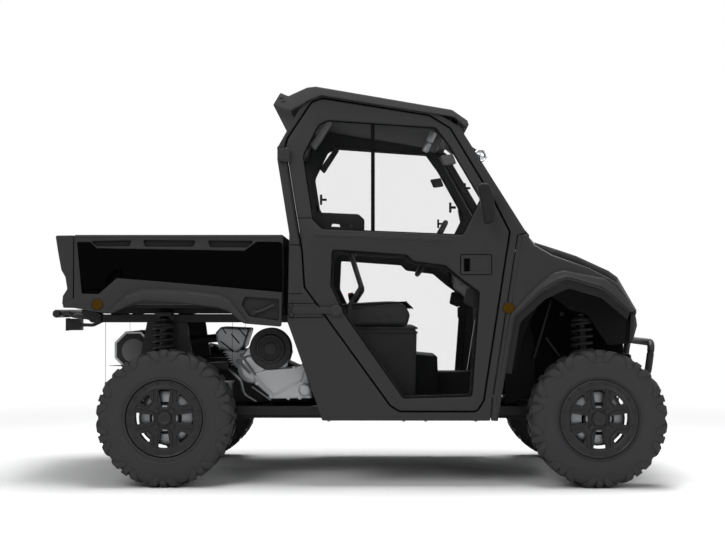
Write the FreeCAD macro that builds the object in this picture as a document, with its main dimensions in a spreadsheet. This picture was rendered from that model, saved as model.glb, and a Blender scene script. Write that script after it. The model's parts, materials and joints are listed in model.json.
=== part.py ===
"""Side by side utility vehicle with a closed cab and a tipping bed, as a jointed assembly.

The frame is right handed and in millimetres: +X points forward, +Y to the left and +Z up, and the
origin is on the ground under the middle of the vehicle. Driving dimensions are cells of the sheet
"Sizes", and every sub-part is an object whose sizes follow those cells.

Outlines are written at the design sizes. Three functions turn such a coordinate into a formula on
the sheet: station() ties X to the nearer axle, wide() ties Y to the cab's half width, high() ties Z
to the belly, and from the deck up spreads it between deck and belt and between belt and roof. A
longer wheelbase, a wider cab or a taller roof then carries every neighbour along with it.
"""
import FreeCAD, Part
import math
import os
import re

import Sketcher

Vector = FreeCAD.Vector

# Driving dimensions in millimetres, one cell each
DRIVING = {
    "wheelbase": 2130,
    "axle_midpoint": 142.5,
    "belly_height": 307,
    "belt_height": 1250,
    "roof_height": 1990,
    "cab_half_width": 735,
    "cab_lean": 100,
    "cab_lean_height": 680,
    "bed_half_width": 720,
    "wheels_half_span": 800,
    "tyre_radius": 337,
    "rear_tyre_width": 270,
    "front_tyre_width": 230,
    "tread_depth": 19,
    "tyre_sectors": 20,
    "lug_pairs": 10,
    "lug_width": 30,
    "side_lug_height": 5,
    "crown_groove": 16,
    "rim_radius": 192,
    "rim_width": 176,
    "rim_wall": 8,
    "rim_window_radius": 144,
    "rim_windows": 8,
    "bead_ring_width": 42,
    "hub_radius": 62,
    "brake_disc_radius": 110,
    "cap_radius": 33,
    "spindle_radius": 20,
    "running_gap": 0.3,
    "kingpin_half_span": 600,
    "door_gap": 8,
    "door_thickness": 40,
    "cab_side_thickness": 50,
    "glass_thickness": 5,
    "bed_skin": 20,
    "arm_radius": 14,
    "spring_radius": 55,
    "spring_turns": 6,
    "hitch_square": 50.8,
    "hitch_wall": 6.35,
    "hitch_pin_radius": 8,
    "pivot_pin_radius": 8,
    "tailgate_pin_radius": 6,
    "hinge_barrel_radius": 11,
    "hinge_pin_radius": 5,
    "hood_pin_radius": 4,
    "marker_radius": 28,
}

# Sizes worked out from the driving ones, as formulas
DERIVED = {
    "front_axle": "(axle_midpoint + wheelbase / 2)",
    "rear_axle": "(axle_midpoint - wheelbase / 2)",
    "hub_height": "(tyre_radius)",
    "lug_top": "(sqrt(tyre_radius * tyre_radius - lug_width * lug_width / 4))",
    "carcass_radius": "(tyre_radius - tread_depth)",
    "deck_height": "(belly_height + 593)",
    "hinge_skin": "(cab_half_width - cab_lean * 0.54054 * (roof_height - belt_height) / cab_lean_height)",
}

# The design values that outlines are written at
DESIGN_FRONT_AXLE = 1218
DESIGN_REAR_AXLE = -912
DESIGN_BELLY = 307
DESIGN_DECK = 900
DESIGN_BELT = 1250
DESIGN_ROOF = 1990
DESIGN_CAB_HALF = 735
CENTRE_ZONE = 250
HINGE_LOW, HINGE_TOP = 866, 1650
SMALL_CORNER = 10
HAND_RIM_STEPS = 20
SHOCK_SIDES = 6

doc = FreeCAD.newDocument("SideBySide")
sheet = doc.addObject("Spreadsheet::Sheet", "Sizes")
for row, (alias, size) in enumerate(DRIVING.items(), start=1):
    sheet.set("A%d" % row, alias)
    sheet.set("B%d" % row, str(size))
    sheet.setAlias("B%d" % row, alias)
doc.recompute()

NODES = []


# Formulas

def link(formula):
    """Return a formula with every size in it replaced by its cell."""
    def cell(match):
        word = match.group(0)
        if word in DERIVED:
            return link(DERIVED[word])
        return "Sizes." + word if word in DRIVING else word
    return re.sub(r"[a-z][a-z0-9_]*", cell, str(formula))


def value(formula):
    """Return what a formula is worth now, in millimetres."""
    return float(sheet.evalExpression(link(formula)))


def bind(item, prop, formula):
    """Tie one property of an object to a formula."""
    item.setExpression(prop, link(formula))


def shifted(anchor, offset):
    """Return the formula of a place at a signed distance from an anchor."""
    return "(%s %s %.6g)" % (anchor, "-" if offset < 0 else "+", abs(offset))


def station(x):
    """Tie an X coordinate to the nearer axle."""
    if isinstance(x, str):
        return x
    if x >= 0:
        return shifted("front_axle", x - DESIGN_FRONT_AXLE)
    return shifted("rear_axle", x - DESIGN_REAR_AXLE)


def wide(y):
    """Tie a Y coordinate outside the middle zone to the cab's half width."""
    if isinstance(y, str):
        return y
    if abs(y) < CENTRE_ZONE:
        return "(%.6g)" % y
    inside = shifted("cab_half_width", abs(y) - DESIGN_CAB_HALF)
    return inside if y > 0 else "(-1 * %s)" % inside


def high(z):
    """Tie a Z coordinate to the belly, or spread it between deck and belt or belt and roof."""
    if isinstance(z, str):
        return z
    if z <= DESIGN_DECK:
        return shifted("belly_height", z - DESIGN_BELLY)
    if z <= DESIGN_BELT:
        low, top, start, end = "deck_height", "belt_height", DESIGN_DECK, DESIGN_BELT
    else:
        low, top, start, end = "belt_height", "roof_height", DESIGN_BELT, DESIGN_ROOF
    return "(%s + %.9g * (%s - %s))" % (low, (z - start) / (end - start), top, low)


AXES = {"XZ": (station, high), "XY": (station, wide), "YZ": (wide, high)}


# Building blocks

def block(name, x, y, z):
    """A box between two stations, two widths and two heights."""
    box = doc.addObject("Part::Box", name)
    for side, low, top, place in (
            ("Length", station(x[0]), station(x[1]), "x"),
            ("Width", wide(y[0]), wide(y[1]), "y"),
            ("Height", high(z[0]), high(z[1]), "z")):
        bind(box, side, "(%s) - (%s)" % (top, low))
        bind(box, "Placement.Base." + place, low)
    return box


def drum(name, axis, centre, radius, reach, sides=0):
    """A cylinder, or a prism of so many sides, along X, Y or Z between the two ends in reach."""
    cylinder = doc.addObject("Part::Prism" if sides else "Part::Cylinder", name)
    if sides:
        cylinder.Polygon = sides
    turn = {"X": (Vector(0, 1, 0), 90), "Y": (Vector(1, 0, 0), -90), "Z": (Vector(0, 0, 1), 0)}[axis]
    cylinder.Placement = FreeCAD.Placement(Vector(), FreeCAD.Rotation(*turn))
    ties = {"X": station, "Y": wide, "Z": high}
    low, top = [ties[axis](end) for end in reach]
    others = [letter for letter in "XYZ" if letter != axis]
    bind(cylinder, "Circumradius" if sides else "Radius", radius)
    bind(cylinder, "Height", "(%s) - (%s)" % (top, low))
    bind(cylinder, "Placement.Base." + axis.lower(), low)
    for letter, place in zip(others, centre):
        bind(cylinder, "Placement.Base." + letter.lower(), ties[letter](place))
    return cylinder


def rod(name, start, end, radius):
    """A round bar between two points in any direction."""
    ends = [Vector(value(station(p[0])), value(wide(p[1])), value(high(p[2]))) for p in (start, end)]
    run = ends[1] - ends[0]
    cylinder = doc.addObject("Part::Cylinder", name)
    bind(cylinder, "Radius", radius)
    cylinder.Height = run.Length
    cylinder.Placement = FreeCAD.Placement(ends[0], FreeCAD.Rotation(Vector(0, 0, 1), run))
    return cylinder


def outline_sketch(name, body, plane, loops, offset):
    """A fully dimensioned sketch of closed loops, whose corners follow the sheet."""
    sketch = body.newObject("Sketcher::SketchObject", name)
    support = [item for item in body.Origin.OriginFeatures if item.Role == plane + "_Plane"][0]
    sketch.AttachmentSupport = [(support, "")]
    sketch.MapMode = "FlatFace"
    bind(sketch, "AttachmentOffset.Base.z", offset)
    tie_u, tie_v = AXES[plane]
    for loop in loops:
        corners = [(tie_u(point[0]), tie_v(point[1])) for point in loop]
        places = [Vector(value(u), value(v), 0) for u, v in corners]
        first = sketch.GeometryCount
        count = len(corners)
        for i in range(count):
            sketch.addGeometry(Part.LineSegment(places[i], places[(i + 1) % count]), False)
        for i in range(count):
            sketch.addConstraint(Sketcher.Constraint("Coincident", first + i, 2, first + (i + 1) % count, 1))
        for i, (u, v) in enumerate(corners):
            for kind, formula, size in (("DistanceX", u, places[i].x), ("DistanceY", v, places[i].y)):
                index = sketch.addConstraint(Sketcher.Constraint(kind, -1, 1, first + i, 1, size))
                sketch.setExpression("Constraints[%d]" % index, link(formula))
    return sketch


def flattened(loop):
    """Turn each corner that gives a radius into flats inside its arc: one if it is small, or two."""
    corners = []
    for i, corner in enumerate(loop):
        if len(corner) < 3:
            corners.append(corner)
            continue
        place, before, after = [Vector(point[0], point[1], 0) for point in (
            corner, loop[i - 1], loop[(i + 1) % len(loop)])]
        back, ahead = before - place, after - place
        limit = 0.45 * min(back.Length, ahead.Length)
        half = back.getAngle(ahead) / 2
        reach = min(corner[2] / math.tan(half), limit)
        bend = reach * math.tan(half)
        back, ahead = back.normalize(), ahead.normalize()
        middle = place + (back + ahead).normalize() * (math.hypot(bend, reach) - bend)
        run = [place + back * reach, middle, place + ahead * reach]
        if corner[2] <= SMALL_CORNER:
            del run[1]
        corners += [(spot.x, spot.y) for spot in run]
    return corners


def plate(name, plane, loops, low, top):
    """A panel: an outline, with any holes, between two places along the plane's normal."""
    body = doc.addObject("PartDesign::Body", name)
    tie = {"XZ": wide, "XY": high, "YZ": station}[plane]
    low, top = tie(low), tie(top)
    start = "(-1 * %s)" % top if plane == "XZ" else low
    sketch = outline_sketch(name + "Outline", body, plane, [flattened(loop) for loop in loops], start)
    pad = body.newObject("PartDesign::Pad", name + "Pad")
    pad.Profile = sketch
    bind(pad, "Length", "(%s) - (%s)" % (top, low))
    body.Tip = pad
    return body


def fuse(name, items):
    """Join solids into one."""
    joined = doc.addObject("Part::MultiFuse", name)
    joined.Shapes = items
    joined.Refine = True
    return joined


def cut(name, base, tools):
    """Take one or more solids away from another."""
    removed = doc.addObject("Part::Cut", name)
    removed.Base = base
    removed.Tool = tools[0] if len(tools) == 1 else fuse(name + "Tools", tools)
    return removed


def common(name, base, tool):
    """Keep what two solids share."""
    shared = doc.addObject("Part::Common", name)
    shared.Base = base
    shared.Tool = tool
    return shared


def mirrored(name, item):
    """The same piece on the other side of the vehicle."""
    other = doc.addObject("Part::Mirroring", name)
    other.Source = item
    other.Base = Vector(0, 0, 0)
    other.Normal = Vector(0, 1, 0)
    return other


def group(name, items):
    """Several separate solids that make one sub-part."""
    together = doc.addObject("Part::Compound", name)
    together.Links = items
    return together


def both_sides(name, items):
    """A sub-part whose pieces stand on the right and, mirrored, on the left."""
    pair = list(items)
    for item in items:
        pair.append(mirrored(item.Name + "Left", item))
    return group(name, pair)


def node(label, item):
    """Name a finished sub-part."""
    item.Label = label
    NODES.append(item)
    return item


def bar(name, start, end, radius, sides=8):
    """A flat-sided bar between two points in any direction."""
    ends = [Vector(value(station(p[0])), value(wide(p[1])), value(high(p[2]))) for p in (start, end)]
    run = ends[1] - ends[0]
    prism = doc.addObject("Part::Prism", name)
    prism.Polygon = sides
    bind(prism, "Circumradius", radius)
    prism.Height = run.Length
    prism.Placement = FreeCAD.Placement(ends[0], FreeCAD.Rotation(Vector(0, 0, 1), run))
    return prism


def solid_of(faces):
    """A solid from corners of flat faces, all round."""
    shell = Part.Shell([Part.Face(Part.makePolygon(corners + corners[:1])) for corners in faces])
    shell.sewShape()
    solid = Part.Solid(shell)
    if solid.Volume < 0:
        solid.reverse()
    return solid


def strip(first, second):
    """Faces between two rings of as many corners; faces with no area are left out."""
    faces = []
    count = len(first)
    for i in range(count):
        a, b, c, d = first[i], first[(i + 1) % count], second[(i + 1) % count], second[i]
        for corners in ([a, b, c], [a, c, d]):
            if all((p - q).Length > 0.001 for p, q in zip(corners, corners[1:] + corners[:1])):
                faces.append(corners)
    return faces


def tube(name, points, radius, bend, sides=8):
    """A bent round tube in flat facets: straight runs joined by arcs in two steps."""
    places = [Vector(value(station(p[0])), value(wide(p[1])), value(high(p[2]))) for p in points]
    line = [places[0]]
    for before, corner, after in zip(places, places[1:], places[2:]):
        back, ahead = (before - corner).normalize(), (after - corner).normalize()
        reach = bend / math.tan(back.getAngle(ahead) / 2)
        middle = (back + ahead).normalize()
        line += [corner + back * reach, corner + middle * (math.hypot(bend, reach) - bend),
                 corner + ahead * reach]
    line.append(places[-1])
    rings = []
    for i, place in enumerate(line):
        before = (place - line[i - 1]).normalize() if i else (line[1] - line[0]).normalize()
        after = (line[i + 1] - place).normalize() if i + 1 < len(line) else before
        along = (before + after).normalize()
        side = Vector(0, 1, 0) if abs(along.y) < 0.5 else Vector(1, 0, 0.15)
        across = along.cross(side).normalize()
        side = across.cross(along)
        rings.append([place + (side * math.cos(turn) + across * math.sin(turn)) * value(radius)
                      for turn in (2 * math.pi * k / sides for k in range(sides))])
    faces = [rings[0], rings[-1]]
    for first, second in zip(rings, rings[1:]):
        shift = min(range(sides), key=lambda k: sum(
            (first[n] - second[(n + k) % sides]).Length for n in range(sides)))
        second[:] = second[shift:] + second[:shift]
        faces += strip(first, second)
    solid = doc.addObject("Part::Feature", name)
    solid.Shape = solid_of(faces)
    return solid


def grown(loop, gap):
    """Move every side of a closed outline outwards by a gap, and let the sides meet again."""
    count = len(loop)
    area = sum(a[0] * b[1] - b[0] * a[1] for a, b in zip(loop, loop[1:] + loop[:1]))
    outward = 1 if area > 0 else -1
    lines = []
    for i in range(count):
        a, b = loop[i], loop[(i + 1) % count]
        length = math.hypot(b[0] - a[0], b[1] - a[1])
        u = ((b[0] - a[0]) / length, (b[1] - a[1]) / length)
        n = (u[1] * outward, -u[0] * outward)
        lines.append(((a[0] + n[0] * gap, a[1] + n[1] * gap), u))
    corners = []
    for i in range(count):
        (p, u), (q, w) = lines[i - 1], lines[i]
        turn = u[0] * w[1] - u[1] * w[0]
        reach = ((q[0] - p[0]) * w[1] - (q[1] - p[1]) * w[0]) / turn
        corners.append((p[0] + u[0] * reach, p[1] + u[1] * reach) + tuple(loop[i][2:]))
    return corners


# Cab section: upright below the belt, leaning in above it

def side_slab(name, inset, thickness):
    """The bent wall in which everything on the cab's right side lies, at an inset from its skin."""
    foot, crest = "(belly_height - 100)", "(roof_height + 100)"
    lean = "((%s - belt_height) * cab_lean / cab_lean_height)" % crest
    skin = "(-1 * cab_half_width + %s)" % inset
    loop = [
        (skin, foot), ("(%s + %s)" % (skin, thickness), foot),
        ("(%s + %s)" % (skin, thickness), "belt_height"), ("(%s + %s + %s)" % (skin, thickness, lean), crest),
        ("(%s + %s)" % (skin, lean), crest), (skin, "belt_height")]
    return plate(name, "YZ", [loop], -500, 1000)


def cab_inside(name, gap):
    """The space between the two cab sides, to trim what spans the cab."""
    foot, crest = "(belly_height - 100)", "(roof_height + 100)"
    lean = "((%s - belt_height) * cab_lean / cab_lean_height)" % crest
    half = "(cab_half_width - cab_side_thickness - %s)" % gap
    crest_half = "(%s - %s)" % (half, lean)
    loop = [
        ("(-1 * %s)" % half, foot), (half, foot), (half, "belt_height"), (crest_half, crest),
        ("(-1 * %s)" % crest_half, crest), ("(-1 * %s)" % half, "belt_height")]
    return plate(name, "YZ", [loop], -600, 1100)


# Outlines at the design sizes, as (station, height[, corner radius])
DOOR = [
    (-322, 1687), (-311, 1728, 30), (-192, 1914, 30), (-139, 1932), (395, 1842, 30), (498, 1775, 30),
    (708, 1413), (785, 1255, 20), (655, 424, 25), (622, 374, 25), (246, 374, 30), (201, 401, 30),
    (-222, 984, 30), (-234, 1160)]
WINDOW_REAR = [(-104, 1822, 12), (-104, 1268, 12), (-139, 1269, 20), (-187, 1318, 20), (-238, 1641, 60),
               (-160, 1800, 25)]
WINDOW_FRONT = [(-86, 1820, 12), (427, 1784, 20), (498, 1687, 20), (650, 1420, 20), (560, 1240, 25),
                (-86, 1262, 12)]
WINDOW_LOW = [
    (-90, 1170, 20), (281, 1144, 20), (313, 1112, 12), (471, 1092, 20), (549, 1026), (641, 959, 25),
    (602, 443, 20), (261, 433, 25), (-32, 850, 40), (-98, 989, 40)]
CAB_SIDE = [
    (-137, 325), (-168, 416), (-309, 809), (-301, 1245), (-365, 1622, 20), (-365, 1682, 30), (-240, 1895, 40),
    (-150, 1962, 40), (420, 1868, 30), (545, 1790, 25), (871, 1253, 20), (826, 1240), (699, 424), (690, 325)]
FENDER_SIDE = [
    (829.5, 1240), (872, 1247), (907, 1192), (996, 1141), (1179, 1078), (1279, 1027), (1318, 1002),
    (1412, 865, 12),
    (1372, 858), (1239, 970, 60), (1068, 1021, 50), (943, 958, 40), (811, 838, 20), (760, 530), (727, 325),
    (693.5, 325),
    (702.5, 424)]
ARCH_FLARE = [
    (1404, 862), (1270, 1014, 60), (1157, 1052), (1043, 1068, 50), (993, 1052, 40), (811, 892, 20),
    (811, 838, 8), (943, 958, 40), (1068, 1021, 50), (1239, 970, 60), (1372, 858)]
SHOULDER_OUTER = [(872, 1247), (907, 1192), (996, 1141), (1179, 1078), (1279, 1027), (1318, 1002),
                  (1412, 865)]
SHOULDER_INNER = [(880, 1240), (932, 1214), (1043, 1178), (1147, 1143), (1310, 1068), (1356, 1035),
                  (1453, 866)]
HOOD_TOP = [(935, 1213), (1043, 1178), (1147, 1143), (1245, 1100), (1310, 1068), (1356, 1035)]
HOOD_PIN = (943, 1202)
FASCIA = [(1361, 1031), (1394, 980), (1434, 921), (1453, 866, 15), (1472, 798, 15), (1457, 765),
          (1440, 694, 20),
          (1405, 694), (1418, 866), (1385, 960), (1353, 1014)]
BED_SIDE = [
    (-1370, 1243, 20), (-1370, 925, 15), (-1424, 905, 10), (-1424, 881, 8), (-1370, 880), (-1221, 856),
    (-1183, 855), (-1039, 915, 40), (-970, 920), (-649, 880),
    (-587, 859, 30), (-527, 803, 30), (-340, 787, 12), (-332, 1243, 8)]
BED_FLARE = [
    (-1217, 858), (-1072, 957, 40), (-996, 970, 40), (-629, 927, 40), (-579, 897, 30), (-502, 829),
    (-527, 803, 20),
    (-587, 859, 30), (-649, 880), (-970, 920), (-1039, 915, 40), (-1183, 855)]
TAILGATE = [
    (-1464, 1240, 10), (-1449, 1148), (-1434, 1068), (-1414, 1034, 15), (-1404, 974, 20), (-1426, 940, 10),
    (-1429, 900, 8), (-1417, 885), (-1380, 885), (-1380, 1243)]
BED_GLOSS = [(-1353, 1206), (-1294, 1206), (-1255, 1178), (-527, 1163), (-459, 1204), (-331.9, 1203),
             (-331.9, 947),
             (-1157, 1029), (-1247, 948), (-1324, 957)]
BED_POCKETS = [
    [(-1289, 1210), (-1085, 1216), (-1094, 1178), (-1255, 1180)],
    [(-1029, 1216), (-765, 1214), (-778, 1174), (-1017, 1178)],
    [(-706, 1214), (-467, 1212), (-514, 1170), (-693, 1170)]]
ENGINE = [
    (-734, 750), (-702, 783), (-540, 777), (-535, 760), (-420, 640), (-276, 567), (-262, 513), (-205, 384),
    (-205, 368.3), (-640, 368.3), (-640, 470), (-700, 600)]


# Wheels

def tyre_rows(width):
    """Half of a tyre's section, from the crown to the bead.

    Each row gives the raised and the low place as (distance from the middle, radius), and the turn and
    the half width, in degrees, of a lug's leg there.
    """
    half = value(width) / 2
    crown, casing = value("lug_top"), value("carcass_radius")
    pitch = 180.0 / value("lug_pairs")
    leg = math.degrees(value("lug_width") / 2 / crown)
    bead, seat = value("rim_radius"), value("rim_width") / 2
    open_turn = pitch - leg - 0.1
    groove = value("crown_groove") / 2
    return [
        ((groove, casing), (groove, casing), open_turn, leg),
        ((groove, crown), (groove, casing), open_turn, leg),
        ((half - 32, crown - 0.5), (half - 32, casing - 2), 0.55 * pitch, 0.95 * leg),
        ((half, 0.895 * crown), (half - value("side_lug_height"), 0.87 * crown), 0.29 * pitch, 0.9 * leg),
        ((half - 1, 0.78 * crown), (half - 1, 0.78 * crown), 0.14 * pitch, 0.55 * leg),
        ((half - 10, bead + 30), (half - 10, bead + 30), None, None),
        ((seat + 6, bead + 6), (seat + 6, bead + 6), None, None),
        ((seat, bead + 6), (seat, bead + 6), None, None),
        ((seat, bead - 14), (seat, bead - 14), None, None)]


def tyre_ring(row, side):
    """The corners of one row of the tyre, round the axle."""
    raised, low, turn, leg = row
    if turn is None:
        count = int(round(value("tyre_sectors")))
        turns = [(360.0 / count * (i + 0.5), raised) for i in range(count)]
    else:
        count = int(round(value("lug_pairs")))
        turns = []
        for i in range(count):
            middle = 360.0 / count * (i + (0.5 if side > 0 else 0))
            for spot in (-turn, turn):
                turns += [(middle + spot - leg, low), (middle + spot - leg, raised),
                          (middle + spot + leg, raised), (middle + spot + leg, low)]
    corners = []
    for degrees, (out, radius) in turns:
        angle = math.radians(degrees)
        corners.append(Vector(radius * math.sin(angle), side * out, radius * math.cos(angle)))
    return corners


def lace(first, second):
    """Triangles between two rings whose corners differ in number: each step takes the shorter diagonal."""
    def turn(corner):
        return math.atan2(corner.x, corner.z) % (2 * math.pi)
    first, second = [sorted(loop, key=turn) for loop in (first, second)]
    first, second = [[p for k, p in enumerate(loop) if (p - loop[k - 1]).Length > 0.001]
                     for loop in (first, second)]
    faces = []
    i = k = 0
    while i < len(first) or k < len(second):
        a, b = first[i % len(first)], second[k % len(second)]
        next_a, next_b = first[(i + 1) % len(first)], second[(k + 1) % len(second)]
        if k >= len(second) or (i < len(first) and (next_a - b).Length <= (next_b - a).Length):
            faces.append([a, next_a, b])
            i += 1
        else:
            faces.append([a, next_b, b])
            k += 1
    return faces


def tyre(name, width, axle, centre):
    """Casing with chevron lugs in one flat-faced solid: the points of the chevrons look at the hub."""
    rows = tyre_rows(width)
    faces = []
    sides = {}
    for side in (-1, 1):
        rings = [tyre_ring(row, side) for row in rows]
        for first, second in zip(rings, rings[1:]):
            faces += strip(first, second) if len(first) == len(second) else lace(first, second)
        sides[side] = rings
    faces += lace(sides[-1][0], sides[1][0]) + strip(sides[-1][-1], sides[1][-1])
    whole = doc.addObject("Part::Feature", name)
    whole.Shape = solid_of(faces)
    bind(whole, "Placement.Base.x", axle)
    bind(whole, "Placement.Base.y", centre)
    bind(whole, "Placement.Base.z", "hub_height")
    return whole


def ring(name, outer, inner, low, top, sides):
    """A flat-sided ring round the wheel's axis between two places on it, or a disc without an inner size."""
    prisms = []
    for part, radius in (("Outer", outer), ("Inner", inner)):
        if radius is None:
            continue
        prism = doc.addObject("Part::Prism", name + part)
        prism.Polygon = sides
        bind(prism, "Circumradius", radius)
        bind(prism, "Height", "(%s) - (%s)" % (top, low))
        prism.Placement = FreeCAD.Placement(Vector(), FreeCAD.Rotation(Vector(1, 0, 0), -90).multiply(
            FreeCAD.Rotation(Vector(0, 0, 1), 90 + 180.0 / value("tyre_sectors"))))
        bind(prism, "Placement.Base.y", low)
        prisms.append(prism)
    return cut(name, prisms[0], prisms[1:]) if inner else prisms[0]


def rim(name, axle, centre):
    """The wheel of the right side, outer face at -Y: barrel, bead ring, spoked disc, hub and brake disc."""
    face = "(-1 * rim_width / 2)"
    sectors = int(round(value("tyre_sectors")))
    disc = ring(name + "Disc", "(rim_radius - bead_ring_width + 2)", None, face + " - 12", face + " + 6",
                sectors)
    windows = []
    count = int(round(value("rim_windows")))
    reach = value("rim_window_radius")
    for i in range(count):
        cardinal = i % 2 == 0
        foot, half_foot, spread = (55, 12, 15) if cardinal else (85, 20, 14)
        across, along = [reach * turn(math.radians(spread)) for turn in (math.sin, math.cos)]
        points = [(foot, -half_foot), (along, -across), (reach, 0), (along, across), (foot, half_foot)]
        wire = Part.makePolygon([Vector(u, 0, v) for u, v in points + points[:1]])
        hole = Part.Face(wire).extrude(Vector(0, -60, 0))
        hole.rotate(Vector(0, 0, 0), Vector(0, 1, 0), 360.0 / count * i)
        windows.append(hole)
    openings = doc.addObject("Part::Feature", name + "Windows")
    openings.Shape = Part.makeCompound(windows)
    bind(openings, "Placement.Base.y", face + " + 20")
    bore = "(spindle_radius + running_gap)"
    whole = fuse(name, [
        ring(name + "Barrel", "(rim_radius - 14)", "(rim_radius - 14 - rim_wall)", face, "(rim_width / 2)",
             sectors),
        ring(name + "BeadRing", "rim_radius", "(rim_radius - bead_ring_width)", face + " - 16", face + " - 4",
             sectors),
        ring(name + "BackFlange", "(rim_radius - 8)", "(rim_radius - 14 - rim_wall)", face + " - 4", face,
             sectors),
        cut(name + "SpokedFace", disc, [openings]),
        ring(name + "Hub", "hub_radius", bore, face + " + 6", face + " + 50", sectors),
        ring(name + "BrakeDisc", "brake_disc_radius", bore, face + " + 50", face + " + 56", sectors),
        ring(name + "Cap", "cap_radius", None, face + " - 22", face + " - 10", 12)])
    bind(whole, "Placement.Base.x", axle)
    bind(whole, "Placement.Base.y", centre)
    bind(whole, "Placement.Base.z", "hub_height")
    return whole


def make_wheels():
    """Four tyres and four rims; the left ones mirror the right ones."""
    for end, axle, width in (("front", "front_axle", "front_tyre_width"),
                             ("rear", "rear_axle", "rear_tyre_width")):
        centre = "(-1 * wheels_half_span + %s / 2)" % width
        right_tyre = tyre(end + "TyreRight", width, axle, centre)
        right_rim = rim(end + "RimRight", axle, centre)
        node("tyre_%s_right" % end, right_tyre)
        node("rim_%s_right" % end, right_rim)
        node("tyre_%s_left" % end, mirrored(end + "TyreLeft", right_tyre))
        node("rim_%s_left" % end, mirrored(end + "RimLeft", right_rim))


# Frame and running gear

def make_frame():
    """Rails, uprights, cross members and the plate under the belly."""
    rails = [
        block("SillRail", (-600, 880), (-330, -280), (318, 368)),
        plate("RearLowRail", "XZ", [[
            (-640, 318), (-640, 350), (-1000, 350), (-1260, 472), (-1260, 440), (-1010, 318)]], -330, -280),
        block("RearMidRail", (-1260, -640), (-380, -340), (560, 600)),
        block("RearTopRail", (-1350, -300), (-380, -340), (805, 845)),
        plate("FrontLowRail", "XZ", [[
            (920, 330), (920, 370), (1000, 370), (1090, 350), (1340, 350), (1340, 312), (1080, 312),
            (1000, 330)]],
            -300, -260),
        block("FrontMidRail", (1000, 1340), (-300, -260), (460, 500)),
        block("FrontTopRail", (1000, 1340), (-300, -260), (830, 870))]
    node("frame_rails", both_sides("FrameRails", rails))
    tower = plate("ShockTower", "XZ", [[(-1100, 600), (-1060, 805), (-850, 805), (-820, 600)]], -390, -380)
    bracket = fuse("RearShockBracket", [
        block("RearShockShelf", (-1005, -921), (-495, -380), (839.3, 857)),
        block("RearShockFoot", (-1005, -921), (-392, -380), (805, 839.3))])
    front_bracket = block("FrontShockBracket", (1145, 1229), (-470, -300), (864.3, 880))
    uprights = [
        fuse("RearUpright", [
            block("RearUprightLow", (-1300, -1260), (-380, -340), (490, 805)),
            block("RearUprightFoot", (-1300, -1260), (-380, -280), (440, 490))]),
        fuse("EngineUpright", [
            block("EngineUprightPost", (-640, -600), (-380, -340), (368, 805)),
            block("EngineUprightFoot", (-640, -600), (-380, -330), (318, 368))]),
        tower, bracket, front_bracket,
        block("FrontUprightRear", (960, 1000), (-300, -260), (370, 870)),
        fuse("FrontUprightFront", [
            block("FrontUprightPost", (1340, 1380), (-300, -260), (330, 870)),
            block("BumperBracketLow", (1380, 1440), (-300, -260), (430, 470)),
            block("BumperBracketTop", (1380, 1440), (-300, -260), (590, 630))]),
        block("OutriggerRear", (-100, -60), (-684.7, -330), (321, 367)),
        block("OutriggerFront", (600, 640), (-684.7, -330), (321, 367)),
        fuse("BedPivot", [
            plate("BedPivotEar", "XZ",
                  [[(-1400, 850), (-1400, 876, 8), (-1362, 876, 8), (-1300, 845), (-1300, 805),
                                         (-1350, 805)]], -390, -380),
            drum("BedPivotPin", "Y", (-1382, 866), "pivot_pin_radius", (-390, -345))])]
    node("frame_uprights", both_sides("FrameUprights", uprights))
    beams = [
        block("RearLowBeam", (-1300, -1260), (-280, 280), (440, 490)),
        block("RearTopBeam", (-1350, -1310), (-340, 340), (805, 845)),
        block("EngineBeamRear", (-640, -600), (-330, 330), (318, 368)),
        block("EngineBeamFront", (-480, -440), (-280, 280), (318, 368)),
        block("FloorBeamRear", (-100, -60), (-280, 280), (318, 368)),
        block("FloorBeamFront", (600, 640), (-280, 280), (318, 368)),
        block("NoseBeamRear", (880, 920), (-330, 330), (318, 368)),
        block("RearCaseBeam", (-790, -750), (-280, 280), (318, 350)),
        block("FrontCaseBeam", (1120, 1160), (-260, 260), (312, 345)),
        block("NoseBeamTop", (960, 1000), (-260, 260), (830, 870)),
        block("NoseBeamFront", (1340, 1380), (-260, 260), (330, 370)),
        block("NoseBeamFrontTop", (1340, 1380), (-260, 260), (830, 870)),
        block("BedTopBeam", (-700, -660), (-340, 340), (805, 845))]
    node("frame_crossmembers", group("FrameCrossmembers", beams))
    skid = plate("SkidPlate", "XZ",
                 [[(-640, 307), (915, 307), (962, 318), (962, 328), (922, 317.7), (-640, 317.7)]],
                 -335, 335)
    node("skid_plate", skid)


def arm_from_rail(name, inner, outer, radius):
    """A round arm whose inner end just clears the face of the rail that carries it."""
    start = Vector(value(station(inner[0])), value(wide(inner[1])), value(high(inner[2])))
    end = Vector(*[value(place) for place in outer])
    run = (end - start).normalize()
    slant = math.sqrt(1 - run.y * run.y)
    start += run * ((value(radius) * slant + value("running_gap")) / abs(run.y))
    arm = doc.addObject("Part::Prism", name)
    arm.Polygon = 6
    bind(arm, "Circumradius", radius)
    arm.Height = (end - start).Length
    arm.Placement = FreeCAD.Placement(start, FreeCAD.Rotation(Vector(0, 0, 1), run))
    return arm


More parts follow.
